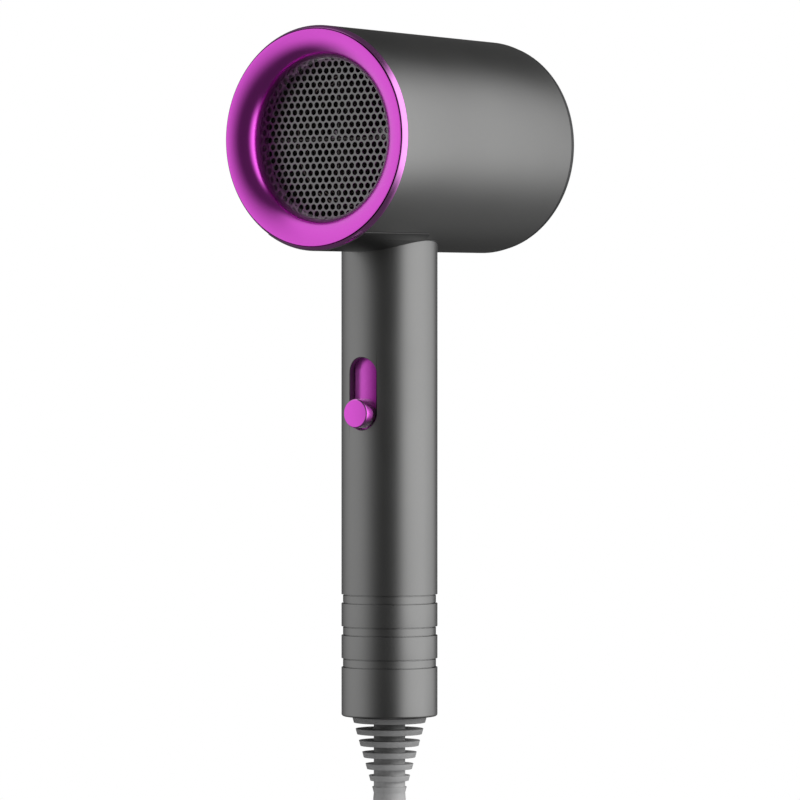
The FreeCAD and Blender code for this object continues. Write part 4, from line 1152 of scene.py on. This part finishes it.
def makeFloor():
    deselectAll()
    bpy.ops.mesh.primitive_circle_add(vertices=128, radius=studio["floorRadius"], fill_type="NGON",
                                      location=(0, 0, cadBox[0].z - studio["floorDrop"]))
    floor = settle(bpy.context.object)
    floor.name = "studioFloor"
    material, shader = newMaterial("floorPale", studio["floorColour"], 0.0, 0.9)
    shader.inputs["Specular IOR Level"].default_value = 0.0
    place = addNode(material, "ShaderNodeTexCoord")
    flat = addNode(material, "ShaderNodeVectorMath", operation="MULTIPLY")
    flat.inputs[1].default_value = (1, 1, 0)
    reach = addNode(material, "ShaderNodeVectorMath", operation="LENGTH")
    link(material, place.outputs["Object"], flat.inputs[0])
    link(material, flat.outputs[0], reach.inputs[0])
    near, far = (studio["floorRadius"] * share for share in studio["floorFade"])
    fade = spread(material, reach.outputs["Value"], 0, 1, near, far)
    clear = addNode(material, "ShaderNodeBsdfTransparent")
    mix = addNode(material, "ShaderNodeMixShader")
    output = material.node_tree.nodes["Material Output"]
    link(material, fade, mix.inputs[0])
    link(material, shader.outputs[0], mix.inputs[1])
    link(material, clear.outputs[0], mix.inputs[2])
    link(material, mix.outputs[0], output.inputs["Surface"])
    floor.data.materials.append(material)
    floor.visible_glossy = False
    return floor


# Each panel brightens between its first two angles and fades between its last two, in degrees.
# Azimuth 0 is the outlet's side, and 90 is the barrel's right side.
panels = [
    {"name": "right", "azimuth": (48, 80, 128, 146), "elevation": (-45, -12, 42, 66), "strength": 1.35},
    {"name": "rightWing", "azimuth": (128, 146, 158, 182), "elevation": (-32, 0, 27, 54), "strength": 1.05},
    {"name": "left", "azimuth": (-128, -71, -44, 14), "elevation": (-55, -10, 60, 89), "strength": 0.7},
    {"name": "low", "azimuth": (90, 120, 178, 210), "elevation": (-60, -40, -22, 4), "strength": 0.18},
    {"name": "room", "azimuth": (-180, -179, 179, 180), "elevation": (-90, -89, 89, 90), "strength": 0.07},
]


def bandOf(material, source, angles, turning):
    # 1 between the two middle angles, with a soft start and end
    centre = (angles[1] + angles[2]) / 2
    if turning:
        away = combine(material, "SUBTRACT", source, math.radians(centre))
        source = combine(material, "WRAP", away, math.pi, -math.pi)
        angles = [angle - centre for angle in angles]
    edges = []
    for start, end, low, high in ((angles[0], angles[1], 0, 1), (angles[2], angles[3], 1, 0)):
        step = addNode(material, "ShaderNodeMapRange", interpolation_type="SMOOTHSTEP")
        step.inputs["From Min"].default_value = math.radians(start)
        step.inputs["From Max"].default_value = math.radians(end)
        step.inputs["To Min"].default_value = low
        step.inputs["To Max"].default_value = high
        link(material, source, step.inputs["Value"])
        edges.append(step.outputs["Result"])
    return combine(material, "MULTIPLY", *edges)


def makeTent():
    deselectAll()
    bpy.ops.mesh.primitive_uv_sphere_add(segments=64, ring_count=32, radius=studio["tentRadius"])
    tent = bpy.context.object
    tent.name = "lightTent"
    material = bpy.data.materials.new("tentCloth")
    material.use_nodes = True
    material.node_tree.nodes.clear()
    place = addNode(material, "ShaderNodeTexCoord")
    direction = addNode(material, "ShaderNodeVectorMath", operation="NORMALIZE")
    parts = addNode(material, "ShaderNodeSeparateXYZ")
    link(material, place.outputs["Object"], direction.inputs[0])
    link(material, direction.outputs[0], parts.inputs[0])
    backwards = combine(material, "MULTIPLY", parts.outputs["Y"], -1)
    azimuth = combine(material, "ARCTAN2", parts.outputs["X"], backwards)
    elevation = combine(material, "ARCSINE", parts.outputs["Z"])
    total = None
    for panel in panels:
        across = bandOf(material, azimuth, panel["azimuth"], True)
        upward = bandOf(material, elevation, panel["elevation"], False)
        glow = combine(material, "MULTIPLY", combine(material, "MULTIPLY", across, upward), panel["strength"])
        total = combine(material, "ADD", total, glow) if total else glow
    emission = addNode(material, "ShaderNodeEmission")
    output = addNode(material, "ShaderNodeOutputMaterial")
    link(material, total, emission.inputs["Strength"])
    link(material, emission.outputs[0], output.inputs["Surface"])
    tent.data.materials.append(material)
    tent.visible_camera = False
    tent.visible_diffuse = False
    tent.visible_shadow = False
    tent.visible_transmission = False
    tent.visible_volume_scatter = False


lamps = [
    {"name": "rightSoftbox", "azimuth": 105, "elevation": 22, "distance": 2.4, "size": 1.6, "power": 58},
    {"name": "leftSoftbox", "azimuth": -60, "elevation": 18, "distance": 2.4, "size": 1.6, "power": 4},
    {"name": "topSoftbox", "azimuth": 30, "elevation": 75, "distance": 2.6, "size": 1.6, "power": 10},
]


def makeLamps():
    target = Vector((0, 0, axisZ / 2))
    for lamp in lamps:
        around, up = math.radians(lamp["azimuth"]), math.radians(lamp["elevation"])
        away = Vector((math.sin(around) * math.cos(up), -math.cos(around) * math.cos(up), math.sin(up)))
        data = bpy.data.lights.new(lamp["name"], "AREA")
        data.energy = lamp["power"]
        data.size = lamp["size"]
        light = bpy.data.objects.new(lamp["name"], data)
        light.location = target + away * lamp["distance"]
        light.rotation_euler = away.to_track_quat("Z", "Y").to_euler()
        light.visible_glossy = False
        bpy.context.scene.collection.objects.link(light)


camera = {"place": (1.0971, -1.5279, 0.1247), "tilt": 90 - 0.483, "turn": 35.56, "lens": 225.8, "sensor": 36}


def makeCamera():
    data = bpy.data.cameras.new("mainCamera")
    data.lens = camera["lens"]
    data.sensor_width = camera["sensor"]
    view = bpy.data.objects.new("mainCamera", data)
    view.location = camera["place"]
    view.rotation_euler = (math.radians(camera["tilt"]), 0, math.radians(camera["turn"]))
    bpy.context.scene.collection.objects.link(view)
    bpy.context.scene.camera = view


makeWorld()
makeFloor()
makeTent()
makeLamps()
makeCamera()
bpy.context.scene.view_settings.view_transform = "Standard"
print("studio made")
